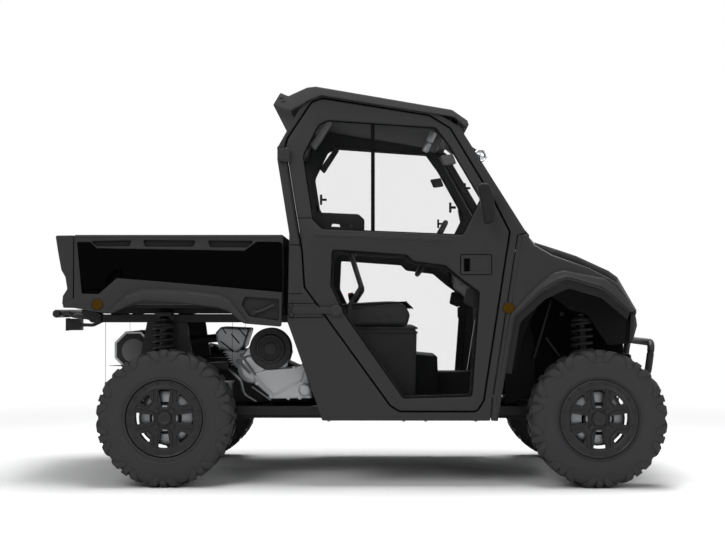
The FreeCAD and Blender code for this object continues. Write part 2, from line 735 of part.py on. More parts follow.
def make_suspension():
    """Lower and upper arms; the lower ones carry the seats of the shock absorbers."""
    joint_y = "(-1 * kingpin_half_span)"
    low_z, top_z = "(hub_height - 72)", "(hub_height + 80)"
    arms = []
    for end, axle, rail_y, low_inner, top_inner, seat_x, seat_z in (
            ("Front", "front_axle", (-300, -300), [(1096, 331), (1325, 331)], [(1268, 480), (1333, 480)],
             (1146, 1290), (306, 330)),
            ("Rear", "rear_axle", (-330, -380), [(-762, 334), (-998, 334)], [(-790, 580), (-880, 580)],
             (-1004, -822), (310, 335))):
        low_pair = [arm_from_rail("%sLowArm%d" % (end, i), (x, rail_y[0], z), (axle, joint_y, low_z),
                                  "arm_radius")
                    for i, (x, z) in enumerate(low_inner)]
        top_pair = [arm_from_rail("%sTopArm%d" % (end, i), (x, rail_y[1], z), (axle, joint_y, top_z),
                                  "arm_radius - 2")
                    for i, (x, z) in enumerate(top_inner)]
        arms.append(fuse(end + "LowArm", low_pair + [
            drum(end + "LowJoint", "Z", (axle, joint_y), "18",
                 ("(%s - 14)" % low_z, "(hub_height - 47.3)"), 8),
            block(end + "ShockSeat", seat_x, (-478, -438), seat_z)]))
        arms.append(fuse(end + "TopArm", top_pair + [
            drum(end + "TopJoint", "Z", (axle, joint_y), "18",
                 ("(hub_height + 63.3)", "(%s + 14)" % top_z), 8)]))
    node("suspension_arms", both_sides("SuspensionArms", arms))


def make_shocks():
    """A damper with a coil spring at each wheel, the coil as a stack of flat-sided turns."""
    pieces = []
    for end, x, top_y, top, foot_y, foot in (("Front", 1187, -420, 863.5, -458, 331.5),
                                             ("Rear", -963, -446, 838.5, -460, 336)):
        x_place, top_place, foot_place = value(station(x)), value(high(top)), value(high(foot))
        length = top_place - foot_place
        turns = int(round(value("spring_turns")))
        outer, inner = value("spring_radius"), value("spring_radius") - 14
        spring_low, spring_top = 0.26 * length, 0.90 * length
        pitch = (spring_top - spring_low) / turns
        profile = [Vector(0, 0, 0), Vector(16, 0, 0), Vector(16, 0, spring_low)]
        for i in range(turns):
            start = spring_low + pitch * i
            profile += [Vector(inner, 0, start), Vector(outer, 0, start + pitch * 0.5)]
        profile += [Vector(inner, 0, spring_top), Vector(24, 0, spring_top), Vector(24, 0, length),
                    Vector(0, 0, length)]
        spin = doc.addObject("Part::Feature", end + "Shock")
        faces = []
        for i in range(SHOCK_SIDES):
            a, b = 360.0 / SHOCK_SIDES * i, 360.0 / SHOCK_SIDES * (i + 1)
            turn_a, turn_b = FreeCAD.Rotation(Vector(0, 0, 1), a), FreeCAD.Rotation(Vector(0, 0, 1), b)
            for p, q in zip(profile, profile[1:]):
                corners = [turn_a.multVec(p), turn_b.multVec(p), turn_b.multVec(q), turn_a.multVec(q)]
                kept = [c for j, c in enumerate(corners) if all((c - d).Length > 1e-6 for d in corners[:j])]
                faces.append(Part.Face(Part.makePolygon(kept + kept[:1])))
        solid = Part.Solid(Part.Shell(faces))
        if solid.Volume < 0:
            solid.reverse()
        spin.Shape = solid
        foot_spot = Vector(x_place, value(wide(foot_y)), foot_place)
        top_spot = Vector(x_place, value(wide(top_y)), top_place)
        spin.Placement = FreeCAD.Placement(foot_spot, FreeCAD.Rotation(Vector(0, 0, 1), top_spot - foot_spot))
        pieces.append(spin)
    node("shocks", both_sides("Shocks", pieces))


def knuckle(name, axle, width, arm):
    """The carrier of one right wheel: an upright, a spindle and, in front, the steering arm."""
    face = "(-1 * kingpin_half_span - 25)"
    back = "(-1 * kingpin_half_span + 25)"
    spindle_end = "(-1 * wheels_half_span + %s / 2 - rim_width / 2 + 10)" % width
    pieces = [
        block(name + "Upright", ("(%s - 26)" % axle, "(%s + 26)" % axle), (face, back),
              ("(hub_height - 47)", "(hub_height + 63)")),
        drum(name + "Spindle", "Y", (axle, "hub_height"), "spindle_radius", (spindle_end, face))]
    if arm:
        pieces.append(plate(name + "Arm", "XY", [[
            ("(%s - 26)" % axle, face), ("(%s - 26)" % axle, back),
            ("(%s - 128)" % axle, "(-1 * kingpin_half_span + 55)"),
            ("(%s - 128)" % axle, "(-1 * kingpin_half_span + 25)")]], "(hub_height + 52)",
            "(hub_height + 63)"))
    return fuse(name, pieces)


def make_knuckles():
    """Steered front knuckles, fixed rear ones and the rod that ties the front ones together."""
    front = knuckle("FrontKnuckle", "front_axle", "front_tyre_width", True)
    node("knuckle_right", front)
    node("knuckle_left", mirrored("FrontKnuckleLeft", front))
    rear = knuckle("RearKnuckle", "rear_axle", "rear_tyre_width", False)
    node("rear_knuckles", both_sides("RearKnuckles", [rear]))
    eye_y = "(-1 * kingpin_half_span + 40)"
    link_x, link_z = "(front_axle - 110)", "(hub_height + 74)"
    bar = drum("TieBar", "Y", (link_x, link_z), "8", (eye_y, "(-1 * %s)" % eye_y), 8)
    eyes = [drum("TieEye", "Z", (link_x, eye_y), "15", ("(hub_height + 63.3)", "(hub_height + 83)"), 8),
            drum("TieEyeLeft", "Z", (link_x, "(-1 * %s)" % eye_y), "15",
                 ("(hub_height + 63.3)", "(hub_height + 83)"))]
    node("tie_rods", fuse("TieRods", [bar] + eyes))


def make_driveline():
    """Engine, belt drive cover, muffler, gear cases and shafts."""
    engine = plate("EngineBlock", "XZ", [ENGINE], -180, 200)
    node("engine", engine)
    cover = fuse("BeltCover", [
        drum("BeltCoverFront", "Y", (-423, 667), "110", (-335, -245), 20),
        drum("BeltCoverRib", "Y", (-423, 667), "74", (-350, -335), 16),
        drum("BeltCoverRear", "Y", (-520, 560), "85", (-325, -245), 16),
        plate("BeltCoverWeb", "XZ",
              [[(-343, 743), (-313, 650), (-455, 506), (-590, 515), (-590, 610), (-500, 745)]],
              -330, -180)])
    node("belt_drive_cover", cover)
    side = 98 * math.tan(math.pi / 8)
    octagon = [(-1140 + sx, 659 + sz) for sx, sz in (
        (98, -side), (98, side), (side, 98), (-side, 98), (-98, side), (-98, -side), (-side, -98),
        (side, -98))]
    can = fuse("MufflerCan", [
        plate("MufflerShell", "XZ", [octagon], -333, 120),
        drum("MufflerEnd", "Y", (-1140, 659), "64", (-339.7, -333), 12),
        drum("MufflerInlet", "X", (0, 700), "24", (-1045, -738), 8)])
    node("muffler", can)
    rear_case = fuse("RearCase", [
        drum("RearCaseDrum", "Y", ("rear_axle", "hub_height + 55"), "95", (-110, 110), 16),
        block("RearCaseFoot", (-790, -750), (-60, 60), (350.3, 380)),
        block("RearCaseNose", (-830, -646), (-80, 80), (375, 480))])
    front_case = fuse("FrontCase", [
        drum("FrontCaseDrum", "Y", ("front_axle", "hub_height + 50"), "72", (-80, 80), 14),
        block("FrontCaseFoot", (1125, 1155), (-40, 40), (345.3, 384)),
        drum("FrontCaseNose", "X", (0, "hub_height + 47"), "34", (1122, 1160), 8)])
    node("gearcases", group("Gearcases", [rear_case, front_case]))
    shafts = []
    for end, axle, start_y, start_z, joint in (("Front", "front_axle", -81.5, "(hub_height + 50)", 42),
                                               ("Rear", "rear_axle", -111.8, "(hub_height + 55)", 27)):
        shafts.append(bar(end + "HalfShaft", (axle, start_y, start_z),
                          (axle, "(-1 * kingpin_half_span + %d)" % joint, "(hub_height + 4)"), "13"))
    node("drive_shafts", both_sides("DriveShafts", shafts))
    node("prop_shaft", drum("PropShaft", "X", (0, "hub_height + 47"), "14", (700, 1122), 8))


# Cab

def make_cab():
    """Side frames, cross bars, walls, floor and glass."""
    slab = side_slab("SideSlab", "0", "cab_side_thickness")
    hole = grown(DOOR, DRIVING["door_gap"])
    blank = plate("CabSideBlank", "XZ", [CAB_SIDE, hole], -760, -540)
    right = common("CabSideRight", blank, slab)
    node("cab_sides", both_sides("CabSides", [right]))
    inside = cab_inside("CabInside", "0")
    bars = [
        common("FrontHeader", plate("FrontHeaderBlank", "XZ",
                                    [[(470, 1800), (524, 1790), (532, 1808), (478, 1838)]], -700, 700),
                                    inside),
        common("RearHeader", plate("RearHeaderBlank", "XZ",
                                   [[(-310, 1745), (-270, 1745), (-240, 1860), (-275, 1840)]], -700, 700),
                                   inside),
        common("CowlBar", plate("CowlBarBlank", "XZ", [[(800, 1190), (858, 1190), (868, 1236), (830, 1244)]],
                                -700, 700), inside),
        common("RearBeltBar", plate("RearBeltBarBlank", "XZ",
                                    [[(-300, 1215), (-252, 1215), (-252, 1255), (-300, 1255)]], -700, 700),
                                    inside)]
    node("cab_crossbars", group("CabCrossbars", bars))
    wall = common("RearWall", plate("RearWallBlank", "XZ", [[
        (-300, 1214.5), (-300, 812), (-158, 420), (-140, 368), (-125, 368), (-140, 420), (-282, 812),
        (-282, 1214.5)]],
        -700, 700), inside)
    node("rear_wall", wall)
    screen = common("Windscreen", plate("WindscreenBlank", "XZ", [[
        (533, 1788), (539, 1791), (868, 1262), (862, 1250)]], -700, 700), cab_inside("ScreenTrim", "0"))
    rear_glass = common("RearGlass", plate("RearGlassBlank", "XZ", [[
        (-299, 1256), (-293, 1256), (-347, 1622), (-343, 1690), (-306, 1741), (-312, 1744), (-349, 1694),
        (-353, 1622)]],
        -700, 700), cab_inside("RearGlassTrim", "0"))
    node("cab_glass", group("CabGlass", [screen, rear_glass]))


def make_roof():
    """A moulded roof with skirts down over the side rails and a spoiler at the back."""
    outline = [
        (-389, 1895, 6), (-351, 1959, 6), (-311, 1942), (-217, 1985, 20), (-173, 1990, 20), (509, 1872, 20),
        (590, 1815, 10), (582, 1785, 6), (520, 1836), (-146, 1946), (-200, 1925), (-300, 1870)]
    outer = plate("RoofShell", "XZ", [outline], -660, 660)
    inner = plate("RoofHollow", "XZ", [[
        (-400, 1840), (-240, 1902), (-158, 1963.6), (420, 1868.3), (520, 1820), (540, 1700), (-400, 1700)]],
        -650, 650)
    node("roof", cut("Roof", outer, [inner]))


def hinge_level(z):
    """A height by the nearer of the two hinges, at a fixed distance from its middle."""
    middle = HINGE_LOW if z < DESIGN_BELT else HINGE_TOP
    return shifted(high(middle), z - middle)


def hinge_point(z):
    """The point at a height on the right door's hinge line, a straight line just off the leaning side."""
    low, top, here = [value(hinge_level(level)) for level in (HINGE_LOW, HINGE_TOP, z)]
    share = (here - low) / (top - low)
    low_y, top_y = value("cab_half_width + 12"), value("hinge_skin + 26")
    return (-292 - 59 * share, "%.9g" % -(low_y + share * (top_y - low_y)), hinge_level(z))


def make_doors():
    """Two doors, their glass and mirrors."""
    slab = side_slab("DoorSlab", "0", "door_thickness")
    leaf = common("DoorLeaf", plate("DoorBlank", "XZ", [DOOR, WINDOW_REAR, WINDOW_FRONT, WINDOW_LOW], -760,
                                    -540), slab)
    arm_reach = (hinge_level(1638), hinge_level(1662))
    hinge_parts = [
        block("StrapPlate", (-282, -60), (-748, -740), (854, 881)),
        block("StrapFoot", (-118, -60), (-742, -735), (854, 881)),
        drum("StrapBolt", "Y", (-68, 867), "24", (-752, -735), 12),
        bar("StrapBarrel", hinge_point(853), hinge_point(881), "hinge_barrel_radius", 6),
        bar("UpperBarrel", hinge_point(1636), hinge_point(1664), "hinge_barrel_radius", 6),
        block("UpperArm", (-345, -292), ("-1 * hinge_skin - 30", "-1 * hinge_skin - 18"), arm_reach),
        block("UpperFoot", (-312, -292), ("-1 * hinge_skin - 24", "-1 * hinge_skin + 4"), arm_reach)]
    bores = [rod("StrapBore", hinge_point(840), hinge_point(894), "hinge_pin_radius + running_gap"),
             rod("UpperBore", hinge_point(1622), hinge_point(1678), "hinge_pin_radius + running_gap")]
    door = cut("Door", fuse("DoorWhole", [leaf] + hinge_parts), bores)
    cab_side = doc.getObject("CabSideRight")
    ears = [
        bar("LowEar", hinge_point(836), hinge_point(852.5), "hinge_barrel_radius"),
        bar("LowEarTop", hinge_point(881.5), hinge_point(898), "hinge_barrel_radius"),
        rod("LowPin", hinge_point(836), hinge_point(898), "hinge_pin_radius"),
        block("LowEarPlate", (-306, -289), (-747, -733), (836, 851)),
        block("LowEarTopPlate", (-306, -289), (-747, -733), (883, 898))]
    upper_ears = [
        bar("HighEar", hinge_point(1618), hinge_point(1635.5), "hinge_barrel_radius"),
        bar("HighEarTop", hinge_point(1664.5), hinge_point(1682), "hinge_barrel_radius"),
        rod("HighPin", hinge_point(1618), hinge_point(1682), "hinge_pin_radius"),
        block("HighEarPlate", (-358, -340), ("-1 * hinge_skin - 24", "-1 * hinge_skin + 4"),
              (hinge_level(1618), hinge_level(1634))),
        block("HighEarTopPlate", (-360, -342), ("-1 * hinge_skin - 22", "-1 * hinge_skin + 8"),
              (hinge_level(1666), hinge_level(1682)))]
    node("door_hinges", both_sides("DoorHinges", [
        cut("LowerHinge", fuse("LowerHingeWhole", ears), [cab_side]),
        cut("UpperHinge", fuse("UpperHingeWhole", upper_ears), [cab_side])]))
    node("door_right", door)
    node("door_left", mirrored("DoorLeft", door))
    glass_slab = side_slab("GlassSlab", "18", "glass_thickness")
    panes = [common("Pane", plate("PaneBlank", "XZ", [window], -760, -540), glass_slab)
             for window in (WINDOW_REAR, WINDOW_FRONT, WINDOW_LOW)]
    glass = group("DoorGlass", panes)
    node("door_glass_right", glass)
    node("door_glass_left", mirrored("DoorGlassLeft", glass))
    mirror = cut("Mirror", fuse("MirrorWhole", [
        plate("MirrorHead", "XZ", [[(640, 1500, 12), (700, 1490, 15), (712, 1340, 15), (650, 1330, 12)]],
              -860, -775),
        bar("MirrorArm", (690, -708, 1400), (676, -790, 1420), "12")]), [leaf])
    node("mirror_right", mirror)
    node("mirror_left", mirrored("MirrorLeft", mirror))


def make_interior():
    """Floor, seats, dashboard, console and steering."""
    inside = cab_inside("FloorTrim", "running_gap")
    floor = common("FloorTub", plate("FloorTubBlank", "XZ", [[
        (-124, 368), (680, 368), (752, 560), (780, 1186), (768, 1186), (740, 562), (671, 380), (-128, 380)]],
        -700, 700), inside)
    node("floor_tub", floor)
    base = plate("SeatBase", "XZ", [[(-118, 380.3), (325, 380.3), (335, 775, 15), (-262, 775), (-262, 805)]],
                 -600, 600)
    node("seat_base", base)
    node("console", fuse("Console", [
        block("ConsoleBox", (335.5, 450), (-260, 260), (380.3, 636)),
        plate("ConsoleTunnel", "XZ", [[(450, 380.3), (669, 380.3), (727, 536, 20), (450, 536)]], -110, 110)]))
    cushion = plate("SeatCushion", "XZ", [[
        (-138, 775.3), (300, 785, 30), (319, 850, 25), (285, 907, 25), (-128, 880, 20)]], -600, -60)
    node("seat_cushions", both_sides("SeatCushions", [cushion]))
    back = plate("SeatBack", "XZ",
                 [[(-136, 900, 20), (-150, 860), (-238, 860), (-256, 1380, 30), (-174, 1400, 30)]], -600, -60)
    node("seat_backs", both_sides("SeatBacks", [back]))
    guard_y = "(-1 * cab_half_width + 123.7)"
    guard = fuse("SeatGuard", [
        tube("GuardTube", [(0, guard_y, 1300), (-5, guard_y, 1165), (52, guard_y, 985), (-2, guard_y, 900),
                           (-30, guard_y, 700)], "11", 30, 6),
        plate("GuardPlate", "XZ", [[(-187, 1262), (70, 1262), (70, 1325), (40, 1352), (-187, 1362)],
                                   [(-100, 1282), (-50, 1280), (-56, 1300), (-90, 1304)]],
              guard_y + " - 3", guard_y + " + 3")])
    node("seat_guards", both_sides("SeatGuards", [guard]))
    dash = common("Dashboard", plate("DashboardBlank", "XZ", [[
        (767, 1225), (640, 1215, 25), (560, 1150, 30), (585, 1000, 30), (690, 900, 20), (754, 900),
        (767, 1185)]], -700, 700),
        cab_inside("DashTrim", "running_gap"))
    node("dashboard", dash)


def make_steering_wheel():
    """The hand wheel on its leaning axis, and the fixed column behind it."""
    axis = Vector(0.877, 0, -0.480)
    centre = Vector(value(station(445)), value(wide(360)), value(high(1220)))
    turn = FreeCAD.Rotation(Vector(0, 0, 1), axis)
    grip = []
    sixths = [k * math.pi / 3 for k in range(6)]
    section = [(168 + 15 * math.cos(sixth), 15 * math.sin(sixth)) for sixth in sixths]
    for i in range(HAND_RIM_STEPS):
        along = 2 * math.pi * i / HAND_RIM_STEPS
        grip.append([Vector(out * math.cos(along), out * math.sin(along), up) for out, up in section])
    torus = doc.addObject("Part::Feature", "HandRim")
    torus.Shape = solid_of([face for i in range(HAND_RIM_STEPS) for face in strip(grip[i - 1], grip[i])])
    torus.Placement = FreeCAD.Placement(centre, turn)
    hub = doc.addObject("Part::Prism", "HandHub")
    hub.Polygon, hub.Circumradius, hub.Height = 12, 38, 46
    hub.Placement = FreeCAD.Placement(centre, turn)
    spokes = []
    for i in range(3):
        spoke = doc.addObject("Part::Box", "HandSpoke")
        spoke.Length, spoke.Width, spoke.Height = 150, 28, 14
        local = FreeCAD.Placement(Vector(0, 0, 6), FreeCAD.Rotation(Vector(0, 0, 1), 120 * i - 90))
        centred = FreeCAD.Placement(Vector(15, -14, 0), FreeCAD.Rotation())
        spoke.Placement = FreeCAD.Placement(centre, turn).multiply(local).multiply(centred)
        spokes.append(spoke)
    node("steering_wheel", fuse("HandWheel", [torus, hub] + spokes))
    column = doc.addObject("Part::Prism", "ColumnTube")
    column.Polygon, column.Circumradius, column.Height = 12, 30, 175
    column.Placement = FreeCAD.Placement(centre + axis.normalize() * 46.3, turn)
    node("steering_column", cut("Column", column, [doc.getObject("Dashboard")]))


# Body panels

def make_front():
    """Fenders, hood, fascia, lamps, liners and bumper."""
    side = plate("FenderSide", "XZ", [FENDER_SIDE], -735, -715)
    flare = plate("FenderFlare", "XZ", [ARCH_FLARE], -762, -735)
    sections = []
    body = doc.addObject("PartDesign::Body", "FenderShoulder")
    for line, offset in ((SHOULDER_OUTER, 715), (SHOULDER_INNER, 505)):
        under = [(x - 6, z - 14) for x, z in line]
        sections.append(outline_sketch("ShoulderSection", body, "XZ", [line + under[::-1]], wide(offset)))
    loft = body.newObject("PartDesign::AdditiveLoft", "ShoulderLoft")
    loft.Profile = sections[0]
    loft.Sections = [sections[1]]
    loft.Ruled = True
    body.Tip = loft
    pin = drum("HoodPin", "Y", HOOD_PIN, "hood_pin_radius", (-512, -478))
    node("front_fenders", both_sides("FrontFenders", [fuse("Fender", [side, flare, body, pin])]))
    node("cowl_panel", plate("CowlPanel", "XZ", [[(874, 1246), (922, 1219), (917, 1207), (869, 1235)]],
                             -504.7, 504.7))
    hood_under = [(x - 8, z - 16) for x, z in HOOD_TOP]
    lid = plate("HoodLid", "XZ", [HOOD_TOP + hood_under[::-1]], -500, 500)
    bores = [drum("HoodBore", "Y", HOOD_PIN, "hood_pin_radius + running_gap", reach)
             for reach in ((-501, -476), (476, 501))]
    node("hood", cut("Hood", lid, bores))
    node("front_fascia", plate("FrontFascia", "XZ", [FASCIA], -504.7, 504.7))
    node("headlamps", both_sides("Headlamps", [
        plate("Headlamp", "XZ", [[(1396.5, 976.9), (1432, 924.5), (1442, 931.2), (1406.4, 983.6)]],
              -465, -300)]))
    node("marker_lamps", both_sides("MarkerLamps", [
        drum("MarkerLamp", "Y", (781.5, 879), "marker_radius", ("-1 * cab_half_width - 6",
                                                                "-1 * cab_half_width - 0.3"), 16)]))
    node("wheel_liners", both_sides("WheelLiners", [
        plate("WheelLiner", "XZ",
              [[(1375, 845), (1239, 958), (1068, 1008), (948, 946), (822, 834), (774, 560),
                                    (766, 560), (812, 832), (943, 957), (1066, 1017), (1241, 966),
                                    (1378, 852)]],
              -714.5, -480)]))
    loop = tube("BumperLoop", [(1440, -350, 520), (1540, -350, 520), (1566, -350, 700), (1566, 350, 700),
                               (1540, 350, 520), (1440, 350, 520)], "17", 45)
    node("front_bumper", fuse("FrontBumper",
                              [loop, block("BumperPlate", (1440, 1452), (-370, 370), (420, 640))]))


def make_bed():
    """Tipping bed: floor with side rails, front wall, two side walls and a tailgate."""
    rail = block("BedRail", (-1398, -345), (-374, -334), (850.5, 878))
    bore = drum("BedPivotBore", "Y", (-1382, 866), "pivot_pin_radius + running_gap", (-400, -320))
    rail = cut("BedRailBored", rail, [bore])
    floor = fuse("BedFloor", [
        block("BedFloorPlate", (-1369, -332), (-660, 660), (878, 898)),
        rail, mirrored("BedRailLeft", rail),
        block("BedFrontWall", (-360, -332), (-660, 660), (898, 1243))])
    node("bed_floor", floor)
    high_wall = plate("BedWall", "XZ", [[(-1370, 1243), (-1370, 898), (-332, 898), (-332, 1243)]],
                      "(-1 * bed_half_width)", -660)
    skin = plate("BedSkin", "XZ", [BED_SIDE], "(-1 * bed_half_width)", "(-1 * bed_half_width + bed_skin)")
    flare = plate("BedFlare", "XZ", [BED_FLARE], "(-1 * bed_half_width - 25)", "(-1 * bed_half_width)")
    recesses = [plate("BedGlossRecess", "XZ", [BED_GLOSS], "(-1 * bed_half_width - 1)",
                      "(-1 * bed_half_width + 3)")]
    for loop in BED_POCKETS:
        recesses.append(plate("BedPocket", "XZ", [loop], "(-1 * bed_half_width - 5)",
                              "(-1 * bed_half_width + 30)"))
    side = cut("BedSide", fuse("BedSideWhole", [high_wall, skin, flare]), recesses)
    node("bed_markers", both_sides("BedMarkers", [
        drum("BedMarker", "Y", (-1252.5, 897), "marker_radius", ("-1 * bed_half_width - 6",
                                                                 "-1 * bed_half_width - 0.3"), 16)]))
    half = "(bed_half_width - bed_skin - 5)"
    pin = drum("TailgatePin", "Y", (-1410, 893), "tailgate_pin_radius",
               ("(-1 * bed_half_width + bed_skin)", "(-1 * %s + 25)" % half))
    side = fuse("BedSideWithPin", [side, pin])
    node("bed_sides", both_sides("BedSides", [side]))
    bore_radius = "tailgate_pin_radius + running_gap"
    bores = [
        drum("TailgateBore", "Y", (-1410, 893), bore_radius,
             ("(-1 * %s - 5)" % half, "(-1 * %s + 27)" % half)),
        drum("TailgateBoreLeft", "Y", (-1410, 893), bore_radius, ("%s - 27" % half, "%s + 5" % half))]
    node("tailgate", cut("TailgateBored", plate("Tailgate", "XZ", [TAILGATE], "(-1 * %s)" % half, half),
                         bores))


def make_hitch():
    """Rear bumper bar on two arms with a square receiver in the middle."""
    bar = drum("HitchBar", "Y", (-1541, 850), "21", (-350, 350), 12)
    arm = plate("HitchArm", "XZ", [[(-1350, 805), (-1350, 842), (-1541, 858), (-1541, 838)]], -318, -300)
    post = plate("HitchPost", "XZ", [[(-1350, 821), (-1541, 845), (-1541, 832), (-1350, 805)]], -31, -13)
    half = "(hitch_square / 2 + hitch_wall)"
    middle = high(790)
    shell = block("ReceiverTube", (-1562, -1350), ("-1 * %s" % half, half),
                  ("(%s - %s)" % (middle, half), "(%s + %s)" % (middle, half)))
    socket = block("ReceiverSocket", (-1570, -1370), ("-1 * hitch_square / 2", "hitch_square / 2"),
                   ("(%s - hitch_square / 2)" % middle, "(%s + hitch_square / 2)" % middle))
    pin_hole = drum("ReceiverPinHole", "Y", (-1520, middle), "hitch_pin_radius", (-60, 60))
    whole = fuse("HitchWhole", [
        bar, arm, mirrored("HitchArmLeft", arm), post, mirrored("HitchPostLeft", post), shell])
    node("hitch_bumper", cut("HitchBumper", whole, [socket, pin_hole]))


def check_and_write():
    """Stop on any failed object or sub-part, then write one file for each sub-part."""
    doc.recompute()
    failed = [item.Name for item in doc.Objects if "Invalid" in item.State or "Error" in item.State]
    if failed:
        raise RuntimeError("failed objects: " + ", ".join(failed))
    os.makedirs("parts", exist_ok=True)
    for item in NODES:
        shape = item.Shape
        if shape.isNull() or not shape.isValid() or not shape.Solids:
            raise RuntimeError("bad shape in " + item.Label)
        shape.exportStep("parts/%s.step" % item.Label)
        box = shape.BoundBox
        print("%-20s %2d solids  X %6.0f %6.0f  Y %6.0f %6.0f  Z %6.0f %6.0f" % (
            item.Label, len(shape.Solids), box.XMin, box.XMax, box.YMin, box.YMax, box.ZMin, box.ZMax))


make_frame()
make_suspension()
make_shocks()
make_knuckles()
make_driveline()
make_cab()
make_roof()
make_doors()
make_interior()
make_steering_wheel()
make_front()
make_bed()
make_hitch()
make_wheels()
check_and_write()
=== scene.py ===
"""Looks for the side by side utility vehicle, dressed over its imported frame.

Everything is in metres in the frame of the CAD: +X forward, +Y left, +Z up. Outlines are written in
millimetres at the design stations and turned to metres by design().
"""

import json
import logging
import math
from dataclasses import dataclass, field
from enum import Enum
from typing import Callable, Sequence

import bmesh
import bpy
import numpy as np
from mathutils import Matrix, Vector
from mathutils.geometry import delaunay_2d_cdt


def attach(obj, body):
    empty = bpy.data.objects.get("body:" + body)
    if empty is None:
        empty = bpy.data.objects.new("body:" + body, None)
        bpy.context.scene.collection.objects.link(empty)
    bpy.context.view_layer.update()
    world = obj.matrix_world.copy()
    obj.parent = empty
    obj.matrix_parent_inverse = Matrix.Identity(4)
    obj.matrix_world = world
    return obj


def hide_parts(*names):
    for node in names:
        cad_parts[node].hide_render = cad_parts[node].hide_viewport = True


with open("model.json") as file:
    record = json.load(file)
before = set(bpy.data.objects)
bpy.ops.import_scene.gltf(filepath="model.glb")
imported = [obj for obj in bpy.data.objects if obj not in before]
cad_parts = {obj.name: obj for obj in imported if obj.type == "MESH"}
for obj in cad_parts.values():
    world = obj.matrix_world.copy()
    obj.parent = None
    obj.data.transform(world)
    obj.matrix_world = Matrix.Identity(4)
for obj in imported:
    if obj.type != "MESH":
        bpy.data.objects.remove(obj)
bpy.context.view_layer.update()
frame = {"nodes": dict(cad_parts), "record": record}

log = logging.getLogger("utility_vehicle")
# The design stations stand this many millimetres ahead of the frame's
STATION_SHIFT = 10.5
HUB_Z = 0.337
BELT_Z = 1.250
# The cab's side leans in by this share of the height above the belt
SIDE_LEAN = 100 / 680
CAB_HALF = 0.735

Array = np.ndarray
Outline = Sequence[tuple]

# The direction across the vehicle, and the centre of a wheel before it is moved to its place
ACROSS = (0, 1, 0)
AXLE = (0.0, 0.0, 0.0)


# Finishes

def linear(colour: str) -> tuple[float, float, float, float]:
    """Turn an sRGB hex colour to linear values.

    Args:
        colour: six hex digits after a hash.

    Returns:
        Red, green, blue and an alpha of one: v/12.92 below 0.04045, ((v + 0.055)/1.055)^2.4 above.
    """
    parts = [int(colour[i:i + 2], 16) / 255 for i in (1, 3, 5)]
    red, green, blue = [v / 12.92 if v <= 0.04045 else ((v + 0.055) / 1.055) ** 2.4 for v in parts]
    return red, green, blue, 1.0


def add_node(tree: bpy.types.NodeTree, kind: str, settings: dict | None = None,
        links: dict | None = None) -> bpy.types.Node:
    """Add one node with its settings and links.

    Args:
        tree: the node tree.
        kind: the node's type name without "ShaderNode".
        settings: socket names or attributes and their values.
        links: input names and the output sockets that feed them.

    Returns:
        The new node.
    """
    node = tree.nodes.new("ShaderNode" + kind)
    for name, setting in (settings or {}).items():
        if name in node.inputs:
            node.inputs[name].default_value = setting
        else:
            setattr(node, name, setting)
    for name, source in (links or {}).items():
        tree.links.new(source, node.inputs[name])
    return node


def cleared_tree(owner: bpy.types.ID) -> bpy.types.NodeTree:
    """The node tree of a material or world, switched on and emptied."""
    owner.use_nodes = True
    owner.node_tree.nodes.clear()
    return owner.node_tree


@dataclass(frozen=True)
class Finish:
    """One real material: its slot, colour, gloss and the relief that its making leaves.

    grain_mm is the size of the surface's fine relief and relief_mm its depth; patch_mm is the size of
    the slow change of tone over a panel and patch its share.
    """
    name: str
    slot: str
    colour: str
    roughness: float
    metallic: float = 0.0
    grain_mm: float = 2.0
    relief_mm: float = 0.05
    patch_mm: float = 220.0
    patch: float = 0.10
    coat: float = 0.0
    cells: bool = False
    alpha: float = 1.0
    specular: float = 0.5

    def build(self) -> bpy.types.Material:
        """Make the material once, or return the one already made.

        Returns:
            A node material: cells or noise of the grain's size give the bump, a slow noise changes
            colour and roughness a little.
        """
        if self.name in bpy.data.materials:
            return bpy.data.materials[self.name]
        material = bpy.data.materials.new(self.name)
        tree = cleared_tree(material)
        place = add_node(tree, "TexCoord").outputs["Object"]
        if self.cells:
            grain = add_node(tree, "TexVoronoi", {"Scale": 1000 / self.grain_mm, "feature": "SMOOTH_F1"},
                {"Vector": place}).outputs["Distance"]
        else:
            grain = add_node(tree, "TexNoise", {"Scale": 1000 / self.grain_mm, "Detail": 2.0},
                {"Vector": place}).outputs["Fac"]
        patch = add_node(tree, "TexNoise", {"Scale": 1000 / self.patch_mm, "Detail": 3.0},
            {"Vector": place}).outputs["Fac"]
        base = linear(self.colour)
        dark = tuple(v * (1 - self.patch) for v in base[:3]) + (1.0,)
        light = tuple(min(1.0, v * (1 + self.patch)) for v in base[:3]) + (1.0,)
        tone = add_node(tree, "MixRGB", {"Color1": dark, "Color2": light}, {"Fac": patch}).outputs["Color"]
        rough = add_node(tree, "MapRange", {"From Min": 0.3, "From Max": 0.7,
                "To Min": max(0.02, self.roughness - 0.05), "To Max": min(1.0, self.roughness + 0.05)},
            {"Value": patch})
        bump = add_node(tree, "Bump", {"Distance": self.relief_mm / 1000, "Strength": 0.6}, {"Height": grain})
        shader = add_node(tree, "BsdfPrincipled", {"Metallic": self.metallic, "Coat Weight": self.coat,
                "Coat Roughness": 0.08, "Alpha": self.alpha, "Specular IOR Level": self.specular},
            {"Base Color": tone, "Roughness": rough.outputs["Result"], "Normal": bump.outputs["Normal"]})
        add_node(tree, "OutputMaterial", links={"Surface": shader.outputs["BSDF"]})
        return material


